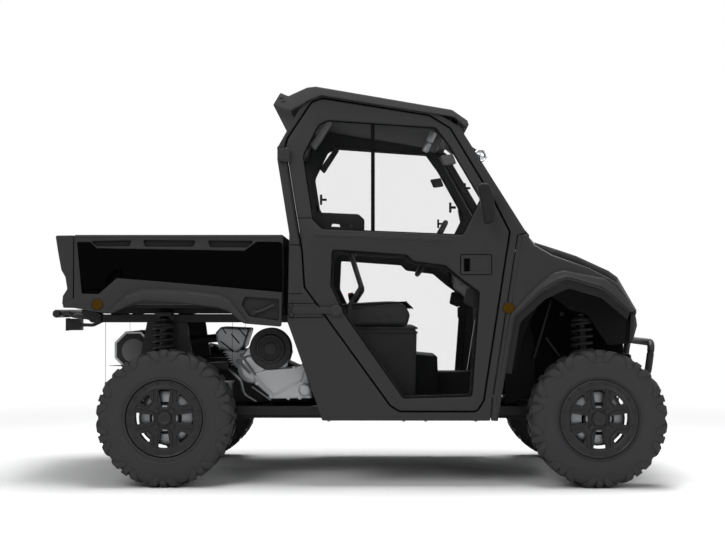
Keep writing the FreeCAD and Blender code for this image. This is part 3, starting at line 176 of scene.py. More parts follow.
class Finishes(Enum):
    """The vehicle's finishes, each named for the real material and how its surface was made."""
    # Grained polypropylene, moulded in colour: an even dark grey with a fine matt grain; on the dampers'
    # springs this grey is a painted highlight over black steel
    BODY = Finish("moulded_grey_polypropylene", "body_matte", "#2d2d2e", 0.52, grain_mm=1.6, relief_mm=0.06,
        specular=0.14)
    # Polished ABS: deep black, mirror smooth
    GLOSS = Finish("polished_black_abs", "body_gloss", "#020202", 0.07, grain_mm=60, relief_mm=0.02,
        patch=0.05, specular=0.02)
    # The roof's textured polypropylene, bleached a little lighter by the sun
    ROOF = Finish("sun_worn_roof_polypropylene", "black_plastic", "#414142", 0.60, grain_mm=2.2,
        relief_mm=0.10, cells=True, specular=0.14)
    # Textured polypropylene of liners and trim
    TRIM = Finish("textured_black_polypropylene", "black_plastic", "#1e1e1f", 0.58, grain_mm=1.2,
        relief_mm=0.10, cells=True, specular=0.12)
    # Moulded polypropylene of the arch liners: nearly black, matt with road dust
    LINER = Finish("dusty_liner_polypropylene", "black_plastic", "#171718", 0.75, grain_mm=1.8,
        relief_mm=0.12, patch=0.14, specular=0.08)
    # Pressed headliner board: light warm grey, matt
    LINING = Finish("pressed_headliner", "black_plastic", "#4c4c4c", 0.85, grain_mm=1.0, relief_mm=0.15,
        patch=0.06, specular=0.15)
    # Powder coated steel tube: satin black with a faint orange peel
    TUBE = Finish("powder_coated_steel", "frame_steel", "#19191a", 0.40, grain_mm=3.5, relief_mm=0.04,
        specular=0.22)
    # Glass filled nylon of the belt cover, its grey raised as painted light against the shade under the bed
    NYLON = Finish("glass_filled_nylon_with_painted_light", "black_plastic", "#3e3e3f", 0.55, grain_mm=1.4, relief_mm=0.08,
        specular=0.16)
    # Sand cast aluminium, bead blasted
    CAST = Finish("sand_cast_aluminium", "cast_alu", "#a9abad", 0.42, metallic=0.55, grain_mm=1.5,
        relief_mm=0.12, patch=0.16)
    # Turned steel of shafts and bolts
    STEEL = Finish("turned_steel", "bright_steel", "#77787a", 0.34, metallic=1.0, grain_mm=2.0,
        relief_mm=0.03)
    # Grey primer on the muffler's end, its grey raised further as painted light against the shade it lies in
    PRIMER = Finish("grey_primer_and_painted_light", "cast_alu", "#6e6e6e", 0.60, grain_mm=1.8, relief_mm=0.05, specular=0.12)
    # Heat proof paint on the muffler and the crankcase; on the head's lines the dark colour is painted shade
    # along raised ribs
    HEAT = Finish("heat_proof_paint_and_painted_shade", "cast_alu", "#1b1b1c", 0.55, metallic=0.2, grain_mm=1.5,
        relief_mm=0.06, specular=0.3)
    # Vulcanised rubber, dusty in patches
    RUBBER = Finish("vulcanised_rubber", "tyre_rubber", "#353536", 0.72, grain_mm=1.4, relief_mm=0.10,
        patch_mm=90, patch=0.12, specular=0.10)
    # Satin paint over a cast wheel
    RIM = Finish("satin_painted_alloy", "rim_paint", "#222223", 0.36, grain_mm=2.5, relief_mm=0.02,
        specular=0.20)
    # Grained vinyl on the seats
    VINYL = Finish("grained_vinyl", "seat_vinyl", "#252526", 0.55, grain_mm=2.6, relief_mm=0.25, cells=True,
        specular=0.14)
    # Amber acrylic with a prism pattern moulded inside
    AMBER = Finish("amber_acrylic", "amber_lens", "#402b01", 0.45, grain_mm=4.0, relief_mm=0.2, patch=0.12,
        specular=0.05)
    # Red plastic of the belt's button and the tail lamps
    RED = Finish("red_nylon", "amber_lens", "#8a1515", 0.45, grain_mm=2.0)
    # Matt rubber of seals and boots
    SEAL = Finish("black_sealing_rubber", "black_plastic", "#070707", 0.8, grain_mm=1.5, relief_mm=0.05,
        specular=0.06)
    # Polycarbonate windows, lightly smoked
    GLASS = Finish("smoked_polycarbonate", "clear_glass", "#1c1e1e", 0.06, grain_mm=400, relief_mm=0.001,
        patch=0.02, alpha=0.05, specular=0.2)
    # Clear lens of the lamps
    LENS = Finish("clear_lamp_lens", "lamp_lens", "#c9ced2", 0.08, grain_mm=9, relief_mm=0.2, patch=0.05,
        coat=0.5, alpha=0.55)
    # Vacuum coated reflector
    MIRROR = Finish("silvered_glass", "lamp_lens", "#d5d8da", 0.04, metallic=1.0, grain_mm=300,
        relief_mm=0.001, patch=0.01)


# Shapes as whole arrays

def design(points: Sequence) -> Array:
    """Millimetres at the design stations to metres in the row's frame: X loses the shift, all over 1000."""
    array = np.array(points, dtype=float)
    array[..., 0] -= STATION_SHIFT
    return array / 1000


@dataclass
class Shell:
    """A mesh in the making: points (n, 3) and lists of faces that index them."""
    points: Array
    faces: list = field(default_factory=list)

    def __add__(self, other: "Shell") -> "Shell":
        """Both shells as one; the second's faces are counted on from the first's points."""
        shift = len(self.points)
        return Shell(np.vstack([self.points, other.points]), self.faces + [[i + shift for i in face]
                for face in other.faces])

    def mirrored(self) -> "Shell":
        """The same shell on the other side of the vehicle: y to -y, faces read backwards."""
        return Shell(self.points * np.array([1.0, -1.0, 1.0]), [face[::-1] for face in self.faces])

    def both(self) -> "Shell":
        """The shell and its mirror image."""
        return self + self.mirrored()

    def moved(self, x: float = 0.0, y: float = 0.0, z: float = 0.0) -> "Shell":
        """The shell shifted along the three axes."""
        return Shell(self.points + np.array([x, y, z]), self.faces)

    def turned(self, degrees: float, axis: int = 1, centre: Sequence = (0, 0, 0)) -> "Shell":
        """The shell turned about an axis through a centre: p' = R (p - c) + c."""
        angle = math.radians(degrees)
        first, second = [(1, 2), (2, 0), (0, 1)][axis]
        rotation = np.eye(3)
        rotation[first, first] = rotation[second, second] = math.cos(angle)
        rotation[first, second], rotation[second, first] = -math.sin(angle), math.sin(angle)
        centre = np.array(centre, dtype=float)
        return Shell((self.points - centre) @ rotation.T + centre, self.faces)

    def repeated(self, count: int, axis: int = 1, centre: Sequence = (0, 0, 0),
            start: float = 0.0) -> "Shell":
        """Copies spread evenly round an axis: copy k is turned by start + 360 k / count."""
        return merged([self.turned(start + 360 * k / count, axis, centre) for k in range(count)])


def merged(shells: Sequence[Shell]) -> Shell:
    """Several shells as one mesh, each one's faces counted on from the points before it."""
    starts = np.cumsum([0] + [len(shell.points) for shell in shells])
    faces = [[i + int(start) for i in face] for shell, start in zip(shells, starts) for face in shell.faces]
    return Shell(np.vstack([shell.points for shell in shells]), faces)


def grid(points: Array, close_rows: bool = False, close_columns: bool = False, caps: bool = False) -> Shell:
    """A surface over a grid of points (rows, columns, 3): quad (r, c) joins its four neighbours.

    Args:
        points: the grid.
        close_rows: join the last row to the first.
        close_columns: join the last column to the first.
        caps: close the first and the last row with one face each.

    Returns:
        The shell.
    """
    rows, columns = points.shape[:2]
    index = np.arange(rows * columns).reshape(rows, columns)
    below = index if close_rows else index[:-1]
    above = np.roll(index, -1, 0) if close_rows else index[1:]
    if close_columns:
        quads = [below, np.roll(below, -1, 1), np.roll(above, -1, 1), above]
    else:
        quads = [below[:, :-1], below[:, 1:], above[:, 1:], above[:, :-1]]
    faces = np.stack(quads, -1).reshape(-1, 4).tolist()
    if caps:
        faces += [index[0][::-1].tolist(), index[-1].tolist()]
    return Shell(points.reshape(-1, 3), faces)


def rounded(corners: Outline, steps: int = 6, radius: float = 8.0) -> Array:
    """An outline whose corners (u, v[, radius]) are turned into short curves.

    Each corner P with radius r becomes the curve (1-s)^2 A + 2 s (1-s) P + s^2 B, where A and B lie on
    its two sides at r / tan(half the corner's angle), at most 0.48 of the side.

    Args:
        corners: the outline, in any unit.
        steps: points on each curve.
        radius: the radius of a corner that gives none.

    Returns:
        Points (n, 2) in the corners' own unit, none of them twice.
    """
    spots = np.array([corner[:2] for corner in corners], dtype=float)
    radii = np.array([corner[2] if len(corner) > 2 else radius for corner in corners], dtype=float)
    back, ahead = np.roll(spots, 1, 0) - spots, np.roll(spots, -1, 0) - spots
    back_length, ahead_length = np.linalg.norm(back, axis=1), np.linalg.norm(ahead, axis=1)
    back, ahead = back / back_length[:, None], ahead / ahead_length[:, None]
    half = np.arccos(np.clip((back * ahead).sum(1), -1, 1)) / 2
    reach = np.minimum(radii / np.maximum(np.tan(half), 1e-6), 0.48 * np.minimum(back_length, ahead_length))
    s = np.linspace(0, 1, steps)[None, :, None]
    first = (spots + back * reach[:, None])[:, None]
    last = (spots + ahead * reach[:, None])[:, None]
    points = ((1 - s) ** 2 * first + 2 * s * (1 - s) * spots[:, None] + s ** 2 * last).reshape(-1, 2)
    return points[np.linalg.norm(points - np.roll(points, 1, 0), axis=1) > 1e-3 * back_length.min()]


def area_of(loop: Array) -> float:
    """The signed area of an outline: half the sum of u v' - u' v."""
    after = np.roll(loop, -1, 0)
    return float((loop[:, 0] * after[:, 1] - after[:, 0] * loop[:, 1]).sum() / 2)


def inset(loop: Array, distance: float) -> Array:
    """The outline moved to its left by a distance: each point goes along the mean of its sides' normals."""
    ahead = np.roll(loop, -1, 0) - loop
    ahead = ahead / np.maximum(np.linalg.norm(ahead, axis=1)[:, None], 1e-9)
    normal = np.stack([-ahead[:, 1], ahead[:, 0]], 1)
    mean = normal + np.roll(normal, 1, 0)
    mean = mean / np.maximum((mean ** 2).sum(1)[:, None] / 2, 0.5)
    return loop + mean * distance


def inside(points: Array, loops: Sequence[Array]) -> Array:
    """Which points lie inside the outlines, by counting the sides that a ray to the right crosses."""
    crossings = np.zeros(len(points), dtype=int)
    for loop in loops:
        a, b = loop[None], np.roll(loop, -1, 0)[None]
        u, v = points[:, :1], points[:, 1:]
        spans = (a[..., 1] > v) != (b[..., 1] > v)
        rise = np.where(np.abs(b[..., 1] - a[..., 1]) < 1e-12, 1e-12, b[..., 1] - a[..., 1])
        where = a[..., 0] + (v - a[..., 1]) / rise * (b[..., 0] - a[..., 0])
        crossings += (spans & (where > u)).sum(1)
    return crossings % 2 == 1


def fill(loops: Sequence[Array], spacing: float) -> tuple[Array, list]:
    """Triangles over the region between outlines, with extra points on a grid of the given spacing.

    Returns:
        The points (the outlines' own first) and the triangles.
    """
    bounds = np.vstack(loops)
    low, high = bounds.min(0), bounds.max(0)
    u, v = np.meshgrid(np.arange(low[0] + spacing / 2, high[0], spacing),
        np.arange(low[1] + spacing / 2, high[1], spacing))
    spots = np.stack([u.ravel(), v.ravel()], 1)
    if len(spots):
        spots = spots[inside(spots, loops)]
        if len(spots):
            gap = np.sqrt(((spots[:, None] - bounds[None]) ** 2).sum(2)).min(1)
            spots = spots[gap > 0.45 * spacing]
    points = np.vstack([bounds, spots]) if len(spots) else bounds
    edges = []
    start = 0
    for loop in loops:
        ring = np.arange(len(loop)) + start
        edges += np.stack([ring, np.roll(ring, -1)], 1).tolist()
        start += len(loop)
    found = delaunay_2d_cdt([Vector(p) for p in points.tolist()], edges, [], 0, 1e-7)
    places = np.array([tuple(p) for p in found[0]])
    triangles = np.array(found[2])
    middle = places[triangles].mean(1)
    triangles = triangles[inside(middle, loops)]
    nearest = ((places[:, None] - points[None]) ** 2).sum(2).argmin(1)
    if any(not source for source in found[3]):
        log.warning("an outline crosses itself near %s",
            places[[not s for s in found[3]]][:3].round(4).tolist())
    triangles = nearest[triangles]
    distinct = (triangles != np.roll(triangles, 1, 1)).all(1)
    return points, triangles[distinct].tolist()


def panel(outer: Array, holes: Sequence[Array], front: Callable[[Array, Array], Array], depth: float,
        edge: float = 0.004, spacing: float = 0.05, steps: int = 3) -> Shell:
    """A moulded panel of the right side: an outline with holes laid on the surface y = front(x, z).

    The rim turns from the face to the side wall on a quarter circle of the edge's radius: ring k is
    inset by e (1 - sin a) and sunk by e (1 - cos a). The back face is the same outline, depth inward.

    Returns:
        A closed shell.
    """
    loops = [outer if area_of(outer) > 0 else outer[::-1]] + [h[::-1] if area_of(h) > 0 else h for h in holes]
    turns = np.linspace(0, math.pi / 2, steps + 1)
    levels = [(edge * (1 - math.sin(a)), edge * (1 - math.cos(a))) for a in turns]
    back_edge = min(edge, depth * 0.4)
    levels += [(0.0, depth - back_edge), (back_edge, depth)]
    rings = [[inset(loop, shift) for loop in loops] for shift, _ in levels]
    face_points, triangles = fill(rings[0], spacing)
    count = sum(len(loop) for loop in loops)
    extra = face_points[count:]
    stacks = []
    for ring, (_, sink) in zip(rings, levels):
        joined = np.vstack(ring)
        stacks.append(laid(joined, front(joined[:, 0], joined[:, 1]) + sink))
    faces = []
    for level in range(len(levels) - 1):
        start = 0
        for loop in loops:
            ring = np.arange(len(loop)) + start
            after = np.roll(ring, -1)
            faces += np.stack([ring + level * count, ring + (level + 1) * count, after + (level + 1) * count,
                    after + level * count], 1).tolist()
            start += len(loop)
    top = len(levels) * count
    faces += [[i if i < count else top + i - count for i in t] for t in triangles]
    last = (len(levels) - 1) * count
    faces += [[i + last if i < count else top + len(extra) + i - count for i in t[::-1]] for t in triangles]
    if len(extra):
        y = front(extra[:, 0], extra[:, 1])
        stacks += [laid(extra, y), laid(extra, y + depth)]
    return Shell(np.vstack(stacks), faces)


def flat(y: float) -> Callable[[Array, Array], Array]:
    """A surface that stands at one y."""
    return lambda x, z: np.full(np.shape(x), y)


def cab_skin(inset_m: float = 0.0) -> Callable[[Array, Array], Array]:
    """The cab's right side: upright below the belt, leaning in by the lean's share above it."""
    return lambda x, z: -CAB_HALF + inset_m + np.maximum(0, z - BELT_Z) * SIDE_LEAN


def disc(radius: float, count: int = 12, turn: float = 0.0) -> Array:
    """Points on a circle (count, 2)."""
    a = np.linspace(0, 2 * math.pi, count, endpoint=False) + turn
    return np.stack([radius * np.cos(a), radius * np.sin(a)], 1)


def sweep(path: Array, section: Array, up: Sequence = (0, 0, 1), closed: bool = False,
        sizes: Array | None = None) -> Shell:
    """A section (m, 2) carried along a path (n, 3): point = path + u * side + v * normal.

    side is up x tangent and normal is tangent x side, both made unit length; sizes scales each section.
    """
    if closed:
        tangent = np.roll(path, -1, 0) - np.roll(path, 1, 0)
    else:
        tangent = np.gradient(path, axis=0)
    tangent = tangent / np.linalg.norm(tangent, axis=1)[:, None]
    side = np.cross(np.array(up, dtype=float)[None], tangent)
    side = side / np.maximum(np.linalg.norm(side, axis=1)[:, None], 1e-9)
    normal = np.cross(tangent, side)
    scale = np.ones(len(path)) if sizes is None else sizes
    points = (path[:, None] + section[None, :, :1] * side[:, None] * scale[:, None, None]
        + section[None, :, 1:] * normal[:, None] * scale[:, None, None])
    return grid(points, close_rows=closed, close_columns=True, caps=not closed)


def bent(corners: Sequence, bend: float, steps: int = 7) -> Array:
    """A path through corners (n, 3) whose inner corners are curves (1-s)^2 A + 2 s (1-s) P + s^2 B."""
    spots = np.array(corners, dtype=float)
    inner = spots[1:-1]
    back, ahead = spots[:-2] - inner, spots[2:] - inner
    lengths = np.minimum(np.linalg.norm(back, axis=1), np.linalg.norm(ahead, axis=1))
    back, ahead = [v / np.linalg.norm(v, axis=1)[:, None] for v in (back, ahead)]
    half = np.arccos(np.clip((back * ahead).sum(1), -1, 1)) / 2
    reach = np.minimum(bend / np.tan(half), 0.48 * lengths)[:, None]
    s = np.linspace(0, 1, steps)[None, :, None]
    curve = ((1 - s) ** 2 * (inner + back * reach)[:, None] + 2 * s * (1 - s) * inner[:, None] + s ** 2
        * (inner + ahead * reach)[:, None])
    return np.vstack([spots[:1], curve.reshape(-1, 3), spots[-1:]])


def pipe(corners: Sequence, radius: float, bend: float = 0.04, up: Sequence = (0, 0, 1),
        sides: int = 16) -> Shell:
    """A round tube along a bent path, its ends closed."""
    path = bent(corners, bend) if len(corners) > 2 else np.array(corners, dtype=float)
    return sweep(path, disc(radius, sides), up)


def revolve(profile: Array, centre: Sequence, axis: Sequence = (0, 1, 0), steps: int = 48) -> Shell:
    """A closed profile of (radius, height) turned round an axis: point = c + h a + r (cos t p + sin t q).

    p and q complete the axis a to a right-handed frame.
    """
    a = np.array(axis, dtype=float)
    a = a / np.linalg.norm(a)
    p = np.cross(a, [0.0, 0.0, 1.0] if abs(a[2]) < 0.9 else [1.0, 0.0, 0.0])
    p = p / np.linalg.norm(p)
    q = np.cross(a, p)
    t = np.linspace(0, 2 * math.pi, steps, endpoint=False)[:, None, None]
    r, h = np.array(profile, dtype=float).T[:, None, :, None]
    points = np.array(centre, dtype=float) + h * a + r * (np.cos(t) * p + np.sin(t) * q)
    return grid(points, close_rows=True, close_columns=True)


def turned_profile(profile: Outline, steps: int = 4) -> Array:
    """A revolve profile in millimetres (radius, height[, corner radius]) to metres with rounded corners."""
    return rounded(profile, steps, 0.3) / 1000


def drawn(corners: Outline, steps: int = 6, radius: float = 8.0) -> Array:
    """An outline in design millimetres with rounded corners, in metres."""
    return design(rounded(corners, steps, radius))


def oblong(x0: float, z0: float, x1: float, z1: float, radius: float = 8.0, steps: int = 6) -> Array:
    """A rectangle between two corners in design millimetres, its corners rounded, in metres."""
    return drawn([(x0, z0, radius), (x1, z0, radius), (x1, z1, radius), (x0, z1, radius)], steps)


def tube(corners: Sequence, radius: float, bend: float = 0.04, up: Sequence = (0, 0, 1),
        sides: int = 16) -> Shell:
    """A round tube through corners in design millimetres."""
    return pipe(design(corners), radius, bend, up, sides)


def lathe(profile: Outline, centre: Sequence, steps: int = 48, corner: int = 4) -> Shell:
    """A turned part that lies across the vehicle: its profile gives (radius, y[, corner radius]) in mm."""
    return revolve(turned_profile(profile, corner), centre, ACROSS, steps)


def brick(low: Sequence, high: Sequence) -> Shell:
    """A block between two corners in metres; its edges get their bevel when it is finished."""
    x, y, z = [(low[i], high[i]) for i in range(3)]
    points = np.array([[x[i], y[j], z[k]] for k in (0, 1) for i, j in ((0, 0), (1, 0), (1, 1), (0, 1))])
    return grid(points.reshape(2, 4, 3), close_columns=True, caps=True)


def bolt(centre: Sequence, axis: Sequence, radius: float, height: float) -> Shell:
    """A hexagon head on a washer, its height along the axis from the seat."""
    washer = revolve(turned_profile([(0, 0), (radius * 1350, 0), (radius * 1350, height * 250, 0.3),
                (0, height * 250)]), centre, axis, 16)
    head = revolve(turned_profile([(0, 0), (radius * 1000, 0), (radius * 1000, height * 1000, 0.6),
                (0, height * 1000)]), centre, axis, 6)
    return washer + head


def loft(lines: Sequence[Array], caps: bool = True) -> Shell:
    """A closed skin through lines of as many points each, taken as the edges of a long bar in turn."""
    return grid(np.stack(lines, 1), close_columns=True, caps=caps)


def curved(corners: Sequence, bend_mm: float = 30.0) -> Array:
    """A path through corners (x, y, z) in design millimetres, bent at its corners, in metres."""
    return design(bent(corners, bend_mm, 6))


def laid(loop: Array, y: float | Array) -> Array:
    """A side view's outline (n, 2) as points (x, y, z) at one width, or at a width for each point."""
    return np.stack([loop[:, 0], np.broadcast_to(y, len(loop)), loop[:, 1]], 1)


def rib_section(foot: float, low: float, crest: float, high: float, radius: float, steps: int = 3) -> Array:
    """A rib's section in metres from its half widths at foot and crest and their heights in millimetres."""
    return rounded([(-foot, low), (foot, low), (crest, high, radius), (-crest, high, radius)], steps) / 1000


def ridge_line(first: Outline, second: Outline, share: float, y: Array, bend_mm: float) -> Array:
    """A long line of a flare: first + share (second - first) in side view, at the widths y, all in mm."""
    a, b = np.array(first, dtype=float), np.array(second, dtype=float)
    return curved(laid(a + (b - a) * share, y), bend_mm)


def slab(profile: Array, low: float, high: float, edge: float = 0.004, steps: int = 3) -> Shell:
    """A side-view profile (x, z) carried across from y = low to high, its two rims rounded.

    Ring k stands e (1 - cos a) in from the end and is inset by e (1 - sin a), for a from 0 to 90 degrees.
    """
    loop = profile if area_of(profile) > 0 else profile[::-1]
    turns = np.linspace(0, math.pi / 2, steps + 1)
    stations = [(low + edge * (1 - math.cos(a)), edge * (1 - math.sin(a))) for a in turns]
    stations += [(high - edge * (1 - math.cos(a)), edge * (1 - math.sin(a))) for a in turns[::-1]]
    rings = []
    for y, shrink in stations:
        ring = inset(loop, shrink) if shrink > 1e-9 else loop
        rings.append(laid(ring, y))
    shell = grid(np.stack(rings), close_columns=True)
    cap = fill([loop], 1e3)[1]
    last = len(loop) * (len(rings) - 1)
    return Shell(shell.points, shell.faces + cap + [[i + last for i in triangle[::-1]] for triangle in cap])


def coil(foot: Sequence, top: Sequence, radius: float, wire: float, turns: float, steps: int = 22) -> Shell:
    """A helical spring: point = foot + t (top - foot) + R (cos 2 pi n t p + sin 2 pi n t q)."""
    foot, top = np.array(foot, dtype=float), np.array(top, dtype=float)
    along = (top - foot) / np.linalg.norm(top - foot)
    p = np.cross(along, [0.0, 1.0, 0.0])
    p = p / np.linalg.norm(p)
    q = np.cross(along, p)
    t = np.linspace(0, 1, int(turns * steps))[:, None]
    a = 2 * math.pi * turns * t
    path = foot + t * (top - foot) + radius * (np.cos(a) * p + np.sin(a) * q)
    return sweep(path, disc(wire, 8), along)


def between(foot: Sequence, top: Sequence, profile: Outline, steps: int = 24) -> Shell:
    """A turned part from foot to top: its profile gives (radius, distance from the foot) in mm."""
    foot, top = np.array(foot, dtype=float), np.array(top, dtype=float)
    return revolve(turned_profile(profile, 3), foot, top - foot, steps)


def ring_of(radius: float, tube: float, centre: Sequence, axis: Sequence, steps: int = 48,
        sides: int = 12) -> Shell:
    """A torus: a circle of the tube's radius at the ring's radius, turned round the axis."""
    return revolve(disc(tube, sides) + np.array([[radius, 0.0]]), centre, axis, steps)


def facing(shell: Shell) -> Shell:
    """A panel laid out as a right side, turned to face forward: (x, y, z) becomes (-y, x, z)."""
    return shell.turned(90, axis=2)


def vertices_of(mesh: bpy.types.Mesh) -> Array:
    """The mesh's vertices as points (n, 3)."""
    points = np.zeros(len(mesh.vertices) * 3)
    mesh.vertices.foreach_get("co", points)
    return points.reshape(-1, 3)


def shaded(name: str, mesh: bpy.types.Mesh, finish: Finishes, angle: float) -> bpy.types.Object:
    """An object over the mesh in one finish, smooth but for edges sharper than the angle in degrees."""
    mesh.polygons.foreach_set("use_smooth", np.ones(len(mesh.polygons), dtype=bool))
    mesh.set_sharp_from_angle(angle=math.radians(angle))
    mesh.materials.clear()
    mesh.materials.append(finish.value.build())
    piece = bpy.data.objects.new(name, mesh)
    bpy.context.scene.collection.objects.link(piece)
    return piece


def bevelled(piece: bpy.types.Object, width: float, angle: float) -> None:
    """Round the edges that are sharper than the angle in degrees, in two steps."""
    cut = piece.modifiers.new("edge", "BEVEL")
    cut.width, cut.segments, cut.limit_method = width, 2, "ANGLE"
    cut.angle_limit = math.radians(angle)


def carried(piece: bpy.types.Object, body: str, nodes: Sequence[str]) -> None:
    """Let the piece ride on its body, in place of the CAD nodes that it stands for."""
    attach(piece, body)
    if nodes:
        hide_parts(*nodes)
    log.info("%s: %d faces on %s", piece.name, len(piece.data.polygons), body)


def finish_piece(name: str, shell: Shell, finish: Finishes, nodes: Sequence[str] = (), body: str = "chassis",
        bevel: float = 0.0, angle: float = 32.0, subdivide: int = 0) -> bpy.types.Object:
    """Turn a shell into a dressed object that rides on its body.

    Args:
        name: the object's name.
        shell: the mesh.
        finish: its finish.
        nodes: the CAD nodes that the piece stands for.
        body: the body that carries it.
        bevel: the width of a bevel on sharp edges, in metres, or none.
        angle: edges sharper than this many degrees stay sharp in the shading.
        subdivide: levels of subdivision.

    Returns:
        The object, with its doubles merged and its faces outward.
    """
    mesh = bpy.data.meshes.new(name)
    mesh.from_pydata(shell.points.tolist(), [], shell.faces)
    work = bmesh.new()
    work.from_mesh(mesh)
    bmesh.ops.remove_doubles(work, verts=work.verts, dist=2e-6)
    bmesh.ops.recalc_face_normals(work, faces=work.faces)
    work.to_mesh(mesh)
    work.free()
    piece = shaded(name, mesh, finish, angle)
    if bevel:
        bevelled(piece, bevel, 35)
    if subdivide:
        smooth = piece.modifiers.new("smooth", "SUBSURF")
        smooth.levels = smooth.render_levels = subdivide
    carried(piece, body, nodes)
    return piece


def softened(node: str, finish: Finishes, body: str, bevel: float,
        slim: Sequence = ()) -> None:
    """A copy of a CAD node's mesh, merged and with its edges bevelled, which stands for the node.

    Each entry of slim (centre x, |y|, z, reach in x, y and z, three shares) thins what lies round that
    centre: p' = c + s (p - c), axis by axis.
    """
    work = bmesh.new()
    work.from_mesh(frame["nodes"][node].data)
    bmesh.ops.remove_doubles(work, verts=work.verts, dist=1e-5)
    bmesh.ops.dissolve_limit(work, angle_limit=math.radians(1.0), verts=work.verts, edges=work.edges)
    mesh = bpy.data.meshes.new(node + "_moulded")
    work.to_mesh(mesh)
    work.free()
    piece = shaded(mesh.name, mesh, finish, 40)
    points = vertices_of(mesh)
    for x, y, z, *rest in slim:
        reach, share = np.array(rest[:3]), np.array(rest[3:])
        centre = np.stack([np.full(len(points), x), y * np.sign(points[:, 1]), np.full(len(points), z)], 1)
        near = (np.abs(points - centre) < reach).all(1)
        points[near] = centre[near] + share * (points[near] - centre[near])
    mesh.vertices.foreach_set("co", points.ravel())
    bevelled(piece, bevel, 30)
    carried(piece, body, [node])


# Wheels

@dataclass
class Wheel:
    """One tyre, rim and brake drum of the right side, mirrored for the left.

    In metres: station of the hub, width of the tyre, distance of its outer face from the middle. lugs is
    the number of chevrons on each side of the tread.
    """
    end: str
    station: float
    width: float
    face: float = 0.800
    lugs: int = 10

    def section(self) -> Array:
        """The casing's closed section (radius, y from the middle), bulging between bead and shoulder."""
        half = self.width * 500
        return turned_profile([(192.4, half - 18, 3), (222, half - 7, 14), (262, half - 3.5, 30),
                (306, half - 8, 20), (324, half - 22, 14), (330.5, 0, 200), (324, -(half - 22), 14),
                (306, -(half - 8), 20), (262, -(half - 3.5), 30), (222, -(half - 7), 14),
                (192.4, -(half - 18), 3), (193, -90, 2), (180, -89, 2), (180, 89, 2), (193, 90, 2)], 5)

    def lug_leg(self, side: int, lean: int) -> Shell:
        """One leg of a chevron: a tapered bar carried over the casing from the crown to the side wall.

        Along t the distance y, the base radius b, the crest c, the turn a and the half width w follow
        short tables; the bar's corners are (r sin a, y, r cos a) with the turn a +- w / r.
        """
        half = self.width / 2
        pitch = math.pi / self.lugs
        t = np.linspace(0, 1, 13)
        keys = np.array([0.0, 0.3, 0.52, 0.66, 0.8, 1.0])
        y = np.interp(t, keys, [0.006, half - 0.045, half - 0.018, half - 0.0065, half - 0.0012,
                half - 0.0030])
        crest = np.interp(t, keys, [0.3366, 0.3366, 0.3340, 0.3245, 0.309, 0.284])
        base = np.interp(t, keys, [0.318, 0.316, 0.312, 0.306, 0.298, 0.280])
        in_y = np.interp(t, keys, [0.0, 0.0, 0.008, 0.010, 0.009, 0.007])
        turn = lean * pitch * np.interp(t, keys, [0.88, 0.66, 0.54, 0.48, 0.42, 0.30])
        wide = np.interp(t, keys, [0.0170, 0.0180, 0.0185, 0.0180, 0.0165, 0.0110])
        corners = []
        for share, radius, sink in ((-1.15, base, in_y), (-1.0, crest - 0.003, 0 * y), (-0.82, crest, 0 * y),
                (0.82, crest, 0 * y), (1.0, crest - 0.003, 0 * y), (1.15, base, in_y)):
            angle = turn + share * wide / 0.3
            corners.append(np.stack([radius * np.sin(angle), side * (y - sink), radius * np.cos(angle)], 1))
        return grid(np.stack(corners, 1), close_columns=True, caps=True)

    def shoulder_block(self, side: int) -> Shell:
        """The short block between a chevron's legs, from the tread over the shoulder."""
        half = self.width / 2
        t = np.linspace(0, 1, 6)
        y = np.interp(t, [0, 0.6, 1], [half - 0.075, half - 0.022, half - 0.0045])
        crest = np.interp(t, [0, 0.6, 1], [0.3362, 0.3350, 0.316])
        wide = np.interp(t, [0, 0.6, 1], [0.010, 0.017, 0.014])
        corners = []
        for share, drop in ((-1.1, 0.028), (-1.0, 0.003), (-0.8, 0), (0.8, 0), (1.0, 0.003), (1.1, 0.028)):
            angle = share * wide / 0.31
            radius = crest - drop
            corners.append(np.stack([radius * np.sin(angle), side * (y - (drop > 0.01) * 0.006 * t),
                        radius * np.cos(angle)], 1))
        return grid(np.stack(corners, 1), close_columns=True, caps=True)

    def tyre(self) -> Shell:
        """Casing, a fine ring on each side wall and twenty chevrons, the two sides half a pitch apart.

        r is the fine ring's radius and d its depth behind the tyre's widest point.
        """
        casing = revolve(self.section(), AXLE, ACROSS, 120)
        half = self.width * 500
        r, d = 204, 12.8
        rings = [lathe([(r - 1.6, s * (half - d)), (r, s * (half - d + 2.2), 0.8), (r + 1.6, s * (half - d)),
                    (r, s * (half - d - 5))], AXLE, 96, 3) for s in (-1, 1)]
        lugs = []
        for side in (-1, 1):
            for lean in (-1, 1):
                lugs.append(self.lug_leg(side, lean).repeated(self.lugs, start=18 if side > 0 else 0))
            lugs.append(self.shoulder_block(side).repeated(self.lugs, start=18 if side > 0 else 0))
        return merged([casing] + rings + lugs)

    def dish(self, x: Array, z: Array) -> Array:
        """The face's depth: -104 mm at the rim, sinking by 10 mm towards the hub with the 1.5th power."""
        return -0.104 + 0.010 * np.clip((0.15 - np.hypot(x, z)) / 0.09, 0, 1) ** 1.5

    def spoke_face(self) -> Shell:
        """The cast face: a disc with eight windows, four tall ones and a shorter one between each two."""
        windows = []
        for i in range(8):
            cardinal = i % 2 == 0
            foot, half_foot, spread = (55, 15, 12.0) if cardinal else (98, 11, 12.5)
            out = np.radians(np.linspace(-spread, spread, 5))
            arc = [(143 * math.cos(a), 143 * math.sin(a), 6 if k in (0, 4) else 3) for k, a in enumerate(out)]
            loop = rounded([(foot, -half_foot, 7)] + arc + [(foot, half_foot, 7)], 4) / 1000
            turn = math.radians(45 * i)
            c, s = math.cos(turn), math.sin(turn)
            windows.append(loop @ np.array([[c, s], [-s, c]]))
        return panel(disc(0.153, 96), windows, self.dish, 0.016, edge=0.003, spacing=0.02)

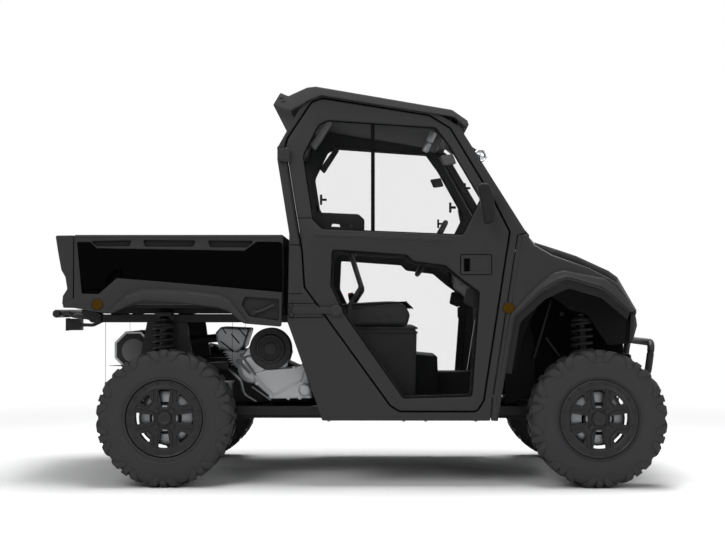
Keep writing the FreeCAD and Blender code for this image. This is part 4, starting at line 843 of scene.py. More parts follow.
    def ribs(self) -> Shell:
        """Raised ribs: a U round each of the four tall windows and an L round each of the others."""
        bends = [[(-36, 144), (-36, 78), (-23, 50), (23, 50), (36, 78), (36, 144)],
            [(-56, 136), (-56, 86), (-86, 56), (-136, 56)]]
        section = rib_section(5, -5, 3.2, 4, 1)
        ribs = []
        for corners in bends:
            path = bent([(x, 0, z) for x, z in corners], 12, 5) / 1000
            path[:, 1] = self.dish(path[:, 0], path[:, 2]) - 0.004
            ribs.append(sweep(path, section, (0, -1, 0)).repeated(4))
        return merged(ribs)

    def bead_ring(self) -> Shell:
        """The outer ring with its raised lip, an inner step and the barrel behind it."""
        return lathe([(192, -96, 2), (192, -103, 3), (186, -108, 3), (180, -104, 2), (166, -103.5, 2),
                (152, -107, 3), (147, -103, 2), (147, -96, 2), (162, -92, 4), (168, -84, 6), (168, 86, 3),
                (176, 88, 2), (190, 90, 2), (190, 94, 1), (180, 94, 1), (178, 88, 2), (178, -88, 4)], AXLE,
            96)

    def mounted(self, kind: str, side: str, shell: Shell, finish: Finishes, stands: bool = True) -> None:
        """Finish a shell in its place on one side; it stands for the CAD node of its kind, or for none."""
        node = "%s_%s_%s" % (kind, self.end, side)
        shell = shell.moved(self.station, self.width / 2 - self.face, HUB_Z)
        finish_piece(node + "_dressed", shell.mirrored() if side == "left" else shell, finish,
            [node] if stands else [], "wheel_%s_%s" % (self.end, side))

    def build(self) -> None:
        """Make both sides' tyres and rims in place."""
        tyre = self.tyre()
        studs = [bolt((0.173 * math.cos(a), -0.1035, 0.173 * math.sin(a)), (0, -1, 0), 0.0058, 0.006)
            for a in np.radians(np.arange(16) * 22.5 + 11.25)]
        nuts = [bolt((0.055 * math.cos(a), -0.094, 0.055 * math.sin(a)), (0, -1, 0), 0.0105, 0.014)
            for a in np.radians([45, 135, 225, 315])]
        cap = lathe([(0, -90), (36, -90, 1), (36, -101, 3), (30, -107, 4), (22, -108, 3), (18, -106, 2),
                (0, -106)], AXLE, 40)
        rim = merged([self.spoke_face(), self.ribs(), self.bead_ring(), cap] + studs + nuts)
        drum = lathe([(20.5, -82), (62, -82, 4), (72, -70, 4), (80, -50, 3), (134, -48, 3), (134, -40, 2),
                (20.5, -40)], AXLE, 48, 3)
        for side in ("right", "left"):
            self.mounted("tyre", side, tyre, Finishes.RUBBER)
            self.mounted("rim", side, rim, Finishes.RIM)
            self.mounted("brake", side, drum, Finishes.STEEL, False)


# Cab

DOOR = [(-322, 1687), (-311, 1728, 30), (-192, 1914, 30), (-139, 1932, 40), (395, 1842, 40), (498, 1775, 30),
    (708, 1413, 60), (785, 1255, 20), (655, 424, 25), (622, 374, 25), (246, 374, 30), (201, 401, 30),
    (-222, 984, 30), (-234, 1160, 30)]
WINDOW_HIGH = [(-139, 1269, 20), (-187, 1318, 20), (-238, 1641, 60), (-160, 1800, 30), (-112, 1822, 25),
    (427, 1784, 20), (498, 1687, 30), (650, 1420, 20), (560, 1240, 25)]
WINDOW_LOW = [(-90, 1170, 20), (281, 1144, 20), (313, 1112, 12), (471, 1092, 20), (549, 1026, 14),
    (641, 959, 25), (602, 443, 20), (261, 433, 25), (-32, 850, 40), (-98, 989, 40)]
CAB_SIDE = [(-137, 325), (-168, 416), (-309, 809), (-301, 1245), (-365, 1622, 20), (-365, 1682, 30),
    (-246, 1900, 8), (-150, 1967, 12), (420, 1868, 30), (545, 1790, 25), (871, 1253, 20), (826, 1240),
    (699, 424), (690, 325)]
ROOF_TOP = [(-389, 1895), (-351, 1959), (-311, 1942, 10), (-217, 1985, 30), (-173, 1990, 30), (509, 1872, 30),
    (590, 1815, 12), (582, 1785)]
ROOF_UNDER = [(520, 1836), (420, 1868.3, 30), (-158, 1963.6, 30), (-240, 1902, 20), (-300, 1870)]


def grown(corners: Outline, gap: float) -> Array:
    """The rounded outline of corners moved outwards by a gap, in millimetres."""
    loop = rounded(corners)
    return inset(loop if area_of(loop) > 0 else loop[::-1], -gap)


def inward(loop: Array, distance: float) -> Array:
    """An outline of either direction moved inwards by a distance."""
    return inset(loop, distance) if area_of(loop) > 0 else inset(loop[::-1], distance)


@dataclass
class Cab:
    """Side frames, doors with their glass, handles and mirrors, roof, lining, wiper and screen lamp."""
    door_gap: float = 8.0
    frame_depth: float = 0.048
    door_depth: float = 0.040

    def side_frames(self) -> None:
        """The two side frames, moulded round the door openings, with sill bolts and the hinge block."""
        right = panel(drawn(CAB_SIDE), [design(grown(DOOR, self.door_gap))], cab_skin(), self.frame_depth,
            edge=0.005)
        block = panel(drawn([(-306, 836), (-132, 836), (-160, 893), (-306, 900)], 4), [], cab_skin(-0.004),
            0.006, edge=0.002)
        ribs = merged([panel(drawn([(-286, z), (-188, z), (-190, z + 5), (-286, z + 5)], 3, 2), [],
                    cab_skin(-0.006), 0.004, edge=0.001, spacing=0.03) for z in (858, 874)])
        bolts = merged([bolt(design((x, -712, 325)), (0, 0, -1), 0.007, 0.006)
                for x in (-106, 264, 373, 620)])
        groove = panel(design(grown(DOOR, self.door_gap - 1.0)), [design(grown(DOOR, 2.0))], cab_skin(0.014),
            0.02, edge=0.002)
        finish_piece("cab_side_frames", (right + block + ribs).both(), Finishes.BODY, ["cab_sides"])
        finish_piece("cab_sill_bolts", bolts.both(), Finishes.STEEL)
        seams = merged([panel(design([(a, z - 2), (b, z - 2), (b, z + 2), (a, z + 2)]),
                    [], cab_skin(-0.0006), 0.002, edge=0.0004)
                for a, b, z in ((-268, -190, 1326), (-318, -245, 1192), (-316, -236, 951))])
        edge = drawn([(-303, 831, 4), (-130, 831, 4), (-160, 905, 4), (-303, 905, 4)], 4)
        seams += panel(edge, [inward(edge, 0.003)], cab_skin(-0.0008), 0.002, edge=0.0004)
        finish_piece("door_seals", (groove + seams).both(), Finishes.SEAL)

    def leaf(self) -> Shell:
        """The right door's leaf with its window openings, sill line and flush handle."""
        windows = [drawn(w) for w in (WINDOW_HIGH, WINDOW_LOW)]
        bay = oblong(563, 1060, 592, 1124, 4, 4)
        skin = panel(drawn(DOOR), windows + [bay], cab_skin(), self.door_depth, edge=0.005)
        plate = panel(oblong(596, 1062, 684, 1120, 4, 4), [], cab_skin(-0.003), 0.010, edge=0.002,
            spacing=0.02)
        sill = panel(drawn([(-180, 1236), (500, 1204), (512, 1212), (505, 1222), (-176, 1254)], 4, 4), [],
            cab_skin(-0.003), 0.006, edge=0.0025)
        return merged([skin, plate, sill])

    def glass(self) -> Shell:
        """The two panes of the right door, set in behind the leaf's face."""
        return merged([panel(drawn(w), [], cab_skin(0.018), 0.005, edge=0.001, spacing=0.08)
                for w in (WINDOW_HIGH, WINDOW_LOW)])

    def gaskets(self) -> Shell:
        """Gaskets, the sliding pane's upright, the latch pocket's back and the line round the handle."""
        rims = [panel(drawn(w), [inward(drawn(w), 0.005)], cab_skin(0.012), 0.012, edge=0.002)
            for w in (WINDOW_HIGH, WINDOW_LOW)]
        upright = panel(drawn([(103, 1256, 2), (121, 1255, 2), (121, 1803, 2), (103, 1804, 2)], 3), [],
            cab_skin(0.010), 0.016, edge=0.002, spacing=0.2)
        surround = oblong(543, 1042, 701, 1146, 10, 4)
        line = panel(surround, [inward(surround, 0.0045)], cab_skin(-0.0008), 0.003, edge=0.0004)
        pocket = panel(oblong(562, 1059, 593, 1125, 4, 4), [], cab_skin(0.024), 0.004, edge=0.001)
        return merged(rims + [upright, line, pocket])

    def hinges(self) -> Shell:
        """The strap of the lower hinge with its ribbed face and round boss, and the upper hinge's cover."""
        strap = panel(drawn([(-286, 852, 6), (-70, 852, 8), (-46, 866, 8), (-70, 884, 8), (-286, 884, 6)]),
            [], flat(-0.7485), 0.012, edge=0.002)
        boss = lathe([(0, 0), (28, 0, 1), (28, -5, 1.5), (20, -8, 2), (12, -6.5, 1), (0, -6.5)],
            design((-68, -746, 867)), 36)
        cover = panel(drawn([(-352, 1610, 5), (-300, 1606, 5), (-300, 1672, 5), (-357, 1674, 5)]), [],
            flat(-0.712), 0.022, edge=0.003, spacing=0.03)
        return merged([strap, boss, cover])

    def pillar_feet(self) -> Shell:
        """The corner piece that closes the gap between the front pillar's foot and the fender."""
        foot = slab(drawn([(826, 1262, 2), (866, 1268, 2), (875, 1258, 3), (888, 1243, 2), (888, 1216, 2),
                    (826, 1216, 2)], 4), -0.702, -0.676, 0.003)
        return foot.both()

    def inner_trim(self) -> Shell:
        """The door's inner frame, latch box and the two turn handles of the sliding pane."""
        ring = panel(inward(drawn(WINDOW_LOW), -0.03), [inward(drawn(WINDOW_LOW), 0.012)], cab_skin(0.042),
            0.012, edge=0.003)
        latch = slab(drawn([(563, 905, 14), (575, 972, 12), (640, 985, 12), (662, 905, 12), (610, 885, 12)]),
            -0.690, -0.650, 0.006)
        box = slab(oblong(612, 820, 650, 884, 4, 4), -0.690, -0.664)
        handles = []
        for x, z in ((-146, 1420), (498, 1380), (571, 1478)):
            y = -(CAB_HALF - (z - 1000 * BELT_Z) * SIDE_LEAN / 1000) + 0.030
            stem = pipe([design((x, 0, z)) + [0, y, 0], design((x + 26, 0, z)) + [0, y + 0.012, 0]], 0.006)
            bar = slab(oblong(x - 6, z - 26, x + 6, z + 26, 4, 4), y + 0.004, y + 0.014, 0.003)
            handles += [stem, bar]
        return merged([ring, latch, box] + handles)

    def mirror(self) -> tuple[Shell, Shell]:
        """The right mirror's housing with its bent arm, and its glass."""
        head = slab(drawn([(622, 1476, 14), (640, 1488, 14), (676, 1486, 22), (700, 1430, 20),
                    (708, 1350, 20), (698, 1298, 16), (660, 1288, 14)], 6), -0.860, -0.775, 0.012, 4)
        arm = tube([(702, -706, 1392), (690, -760, 1400), (676, -806, 1420)], 0.010, 0.02)
        glass = slab(drawn([(624.0, 1466, 1), (630, 1466, 1), (664, 1304, 1), (658.0, 1304, 1)], 4), -0.848,
            -0.788, 0.0015)
        return head + arm, glass

    def hung(self, name: str, shell: Shell, finish: Finishes, node: str = "") -> None:
        """Finish a piece on the right door and its mirror image on the left one.

        node is the start of the name of the CAD node that each stands for, or nothing.
        """
        for side, turned in (("right", shell), ("left", shell.mirrored())):
            nodes = [node + side] if node else []
            finish_piece("%s_%s" % (name, side), turned, finish, nodes, "door_" + side)

    def doors(self) -> None:
        """Both doors with everything that swings with them."""
        head, mirror_glass = self.mirror()
        finish_piece("pillar_feet", self.pillar_feet(), Finishes.BODY)
        self.hung("door_leaf", self.leaf() + self.hinges(), Finishes.BODY, "door_")
        self.hung("door_panes", self.glass(), Finishes.GLASS, "door_glass_")
        self.hung("door_gaskets", self.gaskets(), Finishes.SEAL)
        self.hung("door_inner_trim", self.inner_trim(), Finishes.TRIM)
        self.hung("mirror_housing", head, Finishes.TRIM, "mirror_")
        self.hung("mirror_silver", mirror_glass, Finishes.MIRROR)

    def roof(self) -> None:
        """The roof: a slab over the top profile, side skirts, four ribs, spoiler slots and a lip."""
        outline = rounded(ROOF_TOP + ROOF_UNDER, 6, 6)
        band = slab(design(outline), -0.648, 0.648, 0.004)
        skirt_outline = [(-389, 1895), (-351, 1959), (-311, 1942, 10), (-217, 1985, 30), (-173, 1990, 30),
            (509, 1872, 30), (590, 1815, 12), (582, 1785), (520, 1836, 20), (-146, 1946, 30),
            (-200, 1925, 20), (-300, 1870, 10)]
        skirt = slab(drawn(skirt_outline, 6, 6), -0.662, -0.646, 0.006, 4)
        slots = [slab(drawn([(x, z, 2), (x + 22, z + 2, 2), (x + 22, z + 6, 2), (x, z + 4, 2)], 3), -0.6640,
                -0.660, 0.001) for x, z in ((-356, 1927), (-346, 1909))]
        line = np.array([(-150, 0, 1991.5), (180, 0, 1934), (470, 0, 1883.5)], dtype=float)
        rib = rib_section(26, -5, 16, 5, 4, 4)
        ribs = [sweep(design(line + [0, y, 0]), rib) for y in (-440, -160, 160, 440)]
        lip = tube([(584, -640, 1800), (584, 640, 1800)], 0.009)
        finish_piece("roof_moulding", merged([band, skirt.both(), lip] + ribs), Finishes.ROOF, ["roof"])
        finish_piece("roof_spoiler_slots", merged(slots).both(), Finishes.SEAL)

    def lining(self) -> None:
        """Roof lining and pillar gussets, seen through the glass."""
        lining = slab(drawn([(-230, 1878, 10), (-150, 1934, 10), (420, 1846, 10), (500, 1800, 8), (470, 1790),
                    (400, 1826), (-150, 1914), (-215, 1868)], 5, 4), -0.60, 0.60, 0.006)
        rear = slab(drawn([(-205, 1700, 10), (-115, 1826, 10), (-88, 1812, 10), (-178, 1672, 10)]), -0.63,
            -0.60)
        front = slab(drawn([(448, 1640, 8), (512, 1650, 8), (530, 1600, 8), (470, 1592, 8)]), -0.665, -0.64)
        finish_piece("roof_lining", lining, Finishes.LINING)
        finish_piece("pillar_gussets", (rear + front).both(), Finishes.LINING)

    def screen(self) -> None:
        """Wiper motor and arm with its blade, the round lamp before the screen, and the screen's finish."""
        motor = between(design((402, -470, 1734)), design((424, -470, 1782)),
            [(0, 0), (19, 0, 4), (19, 52, 5), (0, 52)])
        gear = between(design((378, -470, 1682)), design((400, -470, 1728)),
            [(0, 0), (16, 0, 6), (16, 50, 4), (0, 50)])
        arm = tube([(556, -420, 1776), (585, -400, 1752), (700, -160, 1560), (716, -150, 1530)], 0.006, 0.02,
            ACROSS)
        blade = tube([(600, -215, 1716), (790, -120, 1412)], 0.007, 0.02, ACROSS)
        finish_piece("wiper_motor", motor + gear, Finishes.CAST)
        finish_piece("wiper_arm", arm + blade, Finishes.TUBE)
        spot = design((697, -20, 1711))
        lamp = merged([ring_of(0.031, 0.006, spot, ACROSS),
                lathe([(0, -6), (18, -2, 4), (30, 8, 3), (20, 24, 8), (0, 30)], spot, 36)])
        stem = pipe([design((604, -8, 1762)), design((650, -8, 1756)), spot + [-0.012, 0.012, 0.022]], 0.006,
            0.02, ACROSS)
        finish_piece("screen_lamp", lamp, Finishes.MIRROR)
        finish_piece("screen_lamp_stem", stem, Finishes.TUBE)
        panes = frame["nodes"]["cab_glass"].data.materials
        panes.clear()
        panes.append(Finishes.GLASS.value.build())

    def build(self) -> None:
        """Make the cab's pieces on both sides."""
        self.side_frames()
        self.doors()
        self.roof()
        self.lining()
        self.screen()


@dataclass
class Nose:
    """Fenders with their flares, hood, fascia with lamps and grille, arch liners and side lamps."""
    crown: float = 0.002
    bulge: float = 0.035

    def flare(self) -> Shell:
        """The arch's double ridge, lofted through lines that follow the arch from sill to nose."""
        outer = [(705, 325), (737, 535), (789, 850), (905, 978), (995, 1054), (1050, 1069), (1252, 1029),
            (1305, 990), (1408, 868)]
        ridge = [(717, 325), (750, 532), (802, 843), (930, 970), (1015, 1022), (1066, 1038), (1243, 986),
            (1297, 944), (1384, 862)]
        edge = [(727, 325), (760, 530), (811, 838), (943, 958), (1022, 1004), (1068, 1021), (1239, 970),
            (1290, 930), (1372, 858)]
        rise = np.array([0.3, 0.3, 0.55, 1, 1, 1, 1, 1, 0.8])

        def line(first: list, second: list, share: float, out: float) -> Array:
            """A line at a share of the way between two others, standing out from the fender's face."""
            return ridge_line(first, second, share, -1000 * CAB_HALF - out * rise, 45)

        upper = [line(outer, ridge, share, out)
            for share, out in ((0, 0.5), (0.10, 9), (0.22, 15), (0.40, 18), (0.86, 23), (1.0, 27))]
        lower = [line(ridge, edge, share, out) for share, out in ((0.25, 26), (0.45, 17), (0.9, 15),
                (1.0, 10), (1.0, -18))]
        return loft(upper + lower + [line(outer, ridge, 0, -18)])

    def shoulder(self) -> tuple[Shell, Shell]:
        """The fender's rounded upper edge and slope to the hood, and the gloss strip on the slope."""
        outer = np.array([(872, 1247), (907, 1192), (996, 1141), (1179, 1078), (1279, 1027), (1318, 1002),
                (1412, 865)], dtype=float)
        middle = np.array([(884, 1240), (918, 1200), (1010, 1147), (1176, 1088), (1293, 1032), (1334, 1006),
                (1437, 866)], dtype=float)
        inner = np.array([(886, 1240), (932, 1214), (1043, 1178), (1147, 1143), (1310, 1068), (1356, 1035),
                (1453, 866)], dtype=float)
        across = np.array([-655, -640, -632, -622, -612, -602, -560.0])

        def line(points: Array, y: float | Array, drop: float = 0.0, back: float = 0.0) -> Array:
            """A long line of the shoulder at a width, lowered and set back."""
            return curved(laid(points - [back, drop], y), 30)

        matte = loft([line(outer, -735.3, 16, 4), line(outer, -734.6, 8, 2), line(outer, -731, 2.5, 1),
                line(outer, -724, 0), line(outer, -716, 0), line(middle, across, 0),
                line(inner, -505.5, 2, 1), line(inner, -505.5, 15, 8), line(middle, across, 16, 8),
                line(outer, -716, 18, 8), line(outer, -728, 22, 8)])
        gloss = loft([line(middle, across, 0), line(middle, across + 3, -2.6, -1),
                line(inner, -509, -1.6, -1), line(inner, -505.8, 0.5), line(inner, -505.8, 3, 1),
                line(middle, across + 3, 3, 1)])
        return matte, gloss

    def fenders(self) -> None:
        """Side skins, shoulders, flares and gloss strips of both sides."""
        side = [(829.5, 1240), (872, 1244), (907, 1189), (996, 1138), (1179, 1075), (1279, 1024), (1318, 999),
            (1410, 865, 12), (1372, 858), (1239, 970, 60), (1068, 1021, 50), (943, 958, 40), (811, 838, 20),
            (760, 530), (727, 325), (693.5, 325), (702.5, 424)]
        skin = panel(drawn(side), [], flat(-CAB_HALF), 0.020, edge=0.004)
        bevel = loft([curved([(832 + a, y, 1234), (704.5 + a, y, 424), (696 + a, y, 330)], 20)
                for a, y in ((0, -735.2), (3, -738.5), (15, -738.5), (19, -735.2), (19, -730), (0, -730))])
        matte, gloss = self.shoulder()
        finish_piece("front_fender_skins", (skin + bevel + matte + self.flare()).both(), Finishes.BODY,
            ["front_fenders"])
        finish_piece("hood_edge_strips", gloss.both(), Finishes.GLOSS)

    def hood(self) -> None:
        """The lid: a crowned sheet over the nose line, with two raised beads and a turned-down rim.

        z = line(x) + c (1 - (y/h)^2) + bead(y) - r (1 - sqrt(1 - e^2)), e the share of the rim's last 8 mm.
        """
        line = bent([(936, 0, 1211), (1043, 0, 1178), (1147, 0, 1143), (1245, 0, 1100), (1310, 0, 1068),
                (1354, 0, 1036)], 60, 6)
        line = np.array([line[0] + (line[1] - line[0]) * t for t in (0, 0.3, 0.6)] + list(line[1:]))
        y = np.concatenate([[-500, -499, -496, -492], np.linspace(-484, 484, 61),
                [492, 496, 499, 500]]) / 1000
        e = np.clip((np.abs(y) - 0.492) / 0.008, 0, 1)
        bead = 0.002 * np.exp(-((np.abs(y) - 0.235) / 0.022) ** 2) + 0.0015 * (np.abs(y) < 0.20)
        rise = self.crown * (1 - (y / 0.5) ** 2) - 0.007 * (1 - np.sqrt(1 - e ** 2)) + bead
        top = design(line)[:, None] + np.stack([0 * y, y, rise], 1)[None]
        under = top - np.array([0.004, 0, 0.013])
        loop = np.concatenate([top, under[:, ::-1]], 1)
        finish_piece("hood_lid", grid(loop, close_columns=True, caps=True), Finishes.BODY, ["hood"],
            body="hood")

    def face(self, v: Array) -> Array:
        """The fascia's front surface: x at each height, read off its profile line."""
        line = np.array([(694, 1440), (765, 1457), (798, 1472), (866, 1453), (921, 1434), (980, 1394),
                (1031, 1361)])
        return (np.interp(v * 1000, line[:, 0], line[:, 1]) - STATION_SHIFT) / 1000

    def fascia(self) -> None:
        """Front panel with headlamp, grille and intake openings, the slats, lamps and the closing plate."""
        def surface(out: float) -> Callable[[Array, Array], Array]:
            """The front surface as a right side: y = -(x(z) - bulge y^2) - out."""
            return lambda u, v: -(self.face(v) - self.bulge * u ** 2) - out

        edge = rounded([(-0.503, 0.700, 0.02), (0.503, 0.700, 0.02), (0.503, 0.86, 0.02),
                (0.480, 1.026, 0.02), (-0.480, 1.026, 0.02), (-0.503, 0.86, 0.02)])
        lamp = rounded([(0.292, 0.926, 0.01), (0.452, 0.908, 0.012), (0.462, 0.958, 0.015),
                (0.438, 0.990, 0.012), (0.300, 0.986, 0.012)])
        lamp_left = lamp * np.array([-1, 1])
        grille = rounded([(-0.20, 0.800, 0.012), (0.20, 0.800, 0.012), (0.245, 0.880, 0.015),
                (0.20, 0.975, 0.012), (-0.20, 0.975, 0.012), (-0.245, 0.880, 0.015)])
        intake = rounded([(-0.30, 0.722, 0.01), (0.30, 0.722, 0.01), (0.32, 0.762, 0.01),
                (-0.32, 0.762, 0.01)])
        shell = facing(panel(edge, [lamp, lamp_left, grille, intake], surface(0), 0.022, edge=0.004,
                spacing=0.035))
        slats = []
        for v in np.linspace(0.820, 0.955, 6):
            half = 0.236 - abs(v - 0.88) * 0.42
            u = np.linspace(-half, half, 17)
            path = np.stack([self.face(np.full(17, v)) - self.bulge * u ** 2 - 0.004, u, np.full(17, v)], 1)
            slats.append(sweep(path, rib_section(5, -5, 5, 4, 2)))
        bottom = float(self.face(np.array(0.742)))
        slats += [brick((bottom - 0.024, u - 0.005, 0.722), (bottom - 0.008, u + 0.005, 0.762))
            for u in (-0.2, -0.1, 0.0, 0.1, 0.2)]
        plate = facing(panel(inward(edge, 0.010), [], surface(-0.034), 0.004, edge=0.001, spacing=0.06))
        finish_piece("fascia_panel", shell, Finishes.BODY, ["front_fascia"])
        finish_piece("grille_slats", merged(slats), Finishes.TRIM)
        finish_piece("grille_backing", plate, Finishes.SEAL)
        lens = facing(merged([panel(inward(o, 0.0015), [], surface(-0.002), 0.004, edge=0.0015, spacing=0.02)
                    for o in (lamp, lamp_left)]))
        bowls, rings = [], []
        for y in (-0.415, -0.340, 0.340, 0.415):
            centre = (float(self.face(np.array(0.95))) - self.bulge * y * y - 0.040, y, 0.950)
            bowls.append(revolve(turned_profile([(0, 0), (8, 0.5), (20, 9), (28, 24), (31, 34), (33, 34),
                        (30, 22), (21, 5), (8, -3), (0, -4)], 3), centre, (1, 0, 0), 36))
            rings.append(revolve(turned_profile([(0, 14), (7, 14, 2), (7, 22, 4), (0, 23)], 3), centre,
                    (1, 0, 0), 16))
        finish_piece("headlamp_lenses", lens, Finishes.LENS, ["headlamps"])
        finish_piece("headlamp_bowls", merged(bowls), Finishes.MIRROR)
        finish_piece("headlamp_bulbs", merged(rings), Finishes.LENS)

    def liners(self) -> None:
        """The wheel arch's liner, flap and shroud, the strip and lip round it and the braces behind it."""
        arch = [(764, 560), (811, 834), (943, 954), (1068, 1014), (1240, 962), (1377, 849)]
        wall_surface = flat(-0.4905)
        strip = loft([curved([(x, y, z + d) for x, z in arch], 45)
                for y, d in ((-732, 0), (-600, 2), (-484, 2), (-484, 6), (-600, 7), (-732, 5))])
        wall = panel(drawn([(974, 962, 4), (1056, 918, 10), (1114, 871, 12), (1194, 852, 10), (1230, 820, 10),
                    (1240, 790, 10), (1267, 752, 10), (1310, 690, 10), (1425, 700, 4), (1440, 800, 4),
                    (1378, 856, 4), (1240, 962, 60), (1068, 1012, 50)]), [], wall_surface, 0.003, edge=0.001)
        rear = panel(drawn([(768, 562, 4), (845, 560, 10), (868, 700, 10), (905, 800, 20), (960, 900, 20),
                    (958, 958, 8), (812, 832, 20)]), [], wall_surface, 0.003, edge=0.001)
        flap = panel(drawn([(800, 372, 6), (958, 430, 20), (958, 700, 10), (900, 900, 10), (800, 900, 6)]),
            [], flat(-0.312), 0.003, edge=0.001)
        finish_piece("arch_liners", merged([wall, rear, flap]).both(), Finishes.LINER, ["wheel_liners"])
        holes = [disc(0.012, 14) + design([(x, 0, z)])[0][[0, 2]] for x, z in ((1100.5, 848), (1180.5, 845))]
        shroud = panel(drawn([(800, 450, 10), (1420, 450, 10), (1420, 800, 30), (1240, 950, 40),
                    (1050, 990, 40), (800, 930, 10)]), holes, flat(-0.307), 0.004, edge=0.001)
        rim = np.array(arch, dtype=float)
        inner = rim + (np.array([1218.0, 500.0]) - rim) * 0.07
        lip = loft([curved(laid(line, y), 45)
                for line, y in ((rim, -730), (inner, -727), (inner, -722), (rim, -724))])
        finish_piece("arch_returns", strip.both(), Finishes.BODY)
        finish_piece("arch_lips", lip.both(), Finishes.TRIM)
        finish_piece("arch_shrouds", shroud.both(), Finishes.SEAL)
        braces = [tube([(x0, -325, z0), (x1, -325, z1)], r, up=ACROSS)
            for x0, z0, x1, z1, r in ((1041, 922, 950, 617, 0.010), (1014, 725, 1086, 628, 0.008))]
        finish_piece("arch_braces", merged(braces).both(), Finishes.TUBE)

    def markers(self) -> None:
        """Round amber side lamps with a rim, at the front fenders and on the bed."""
        for name, x, y, z, body in (("marker_lamps", 781.5, -735.3, 879, "chassis"),
                ("bed_markers", -1252.5, -720.3, 897, "bed")):
            lens = lathe([(0, 0), (27, 0), (27, -3, 1), (24, -5.5, 2), (0, -7, 8)], design((x, y, z)), 40, 5)
            rim = lathe([(26.5, 0), (29.5, 0), (29.5, -3, 1), (27.5, -4.5, 1), (26.5, -3)], design((x, y, z)),
                40)
            finish_piece(name + "_lens", lens.both(), Finishes.AMBER, [name], body=body)
            finish_piece(name + "_rim", rim.both(), Finishes.TRIM, body=body)

    def build(self) -> None:
        """Make the nose."""
        self.fenders()
        self.hood()
        self.fascia()
        self.liners()
        self.markers()


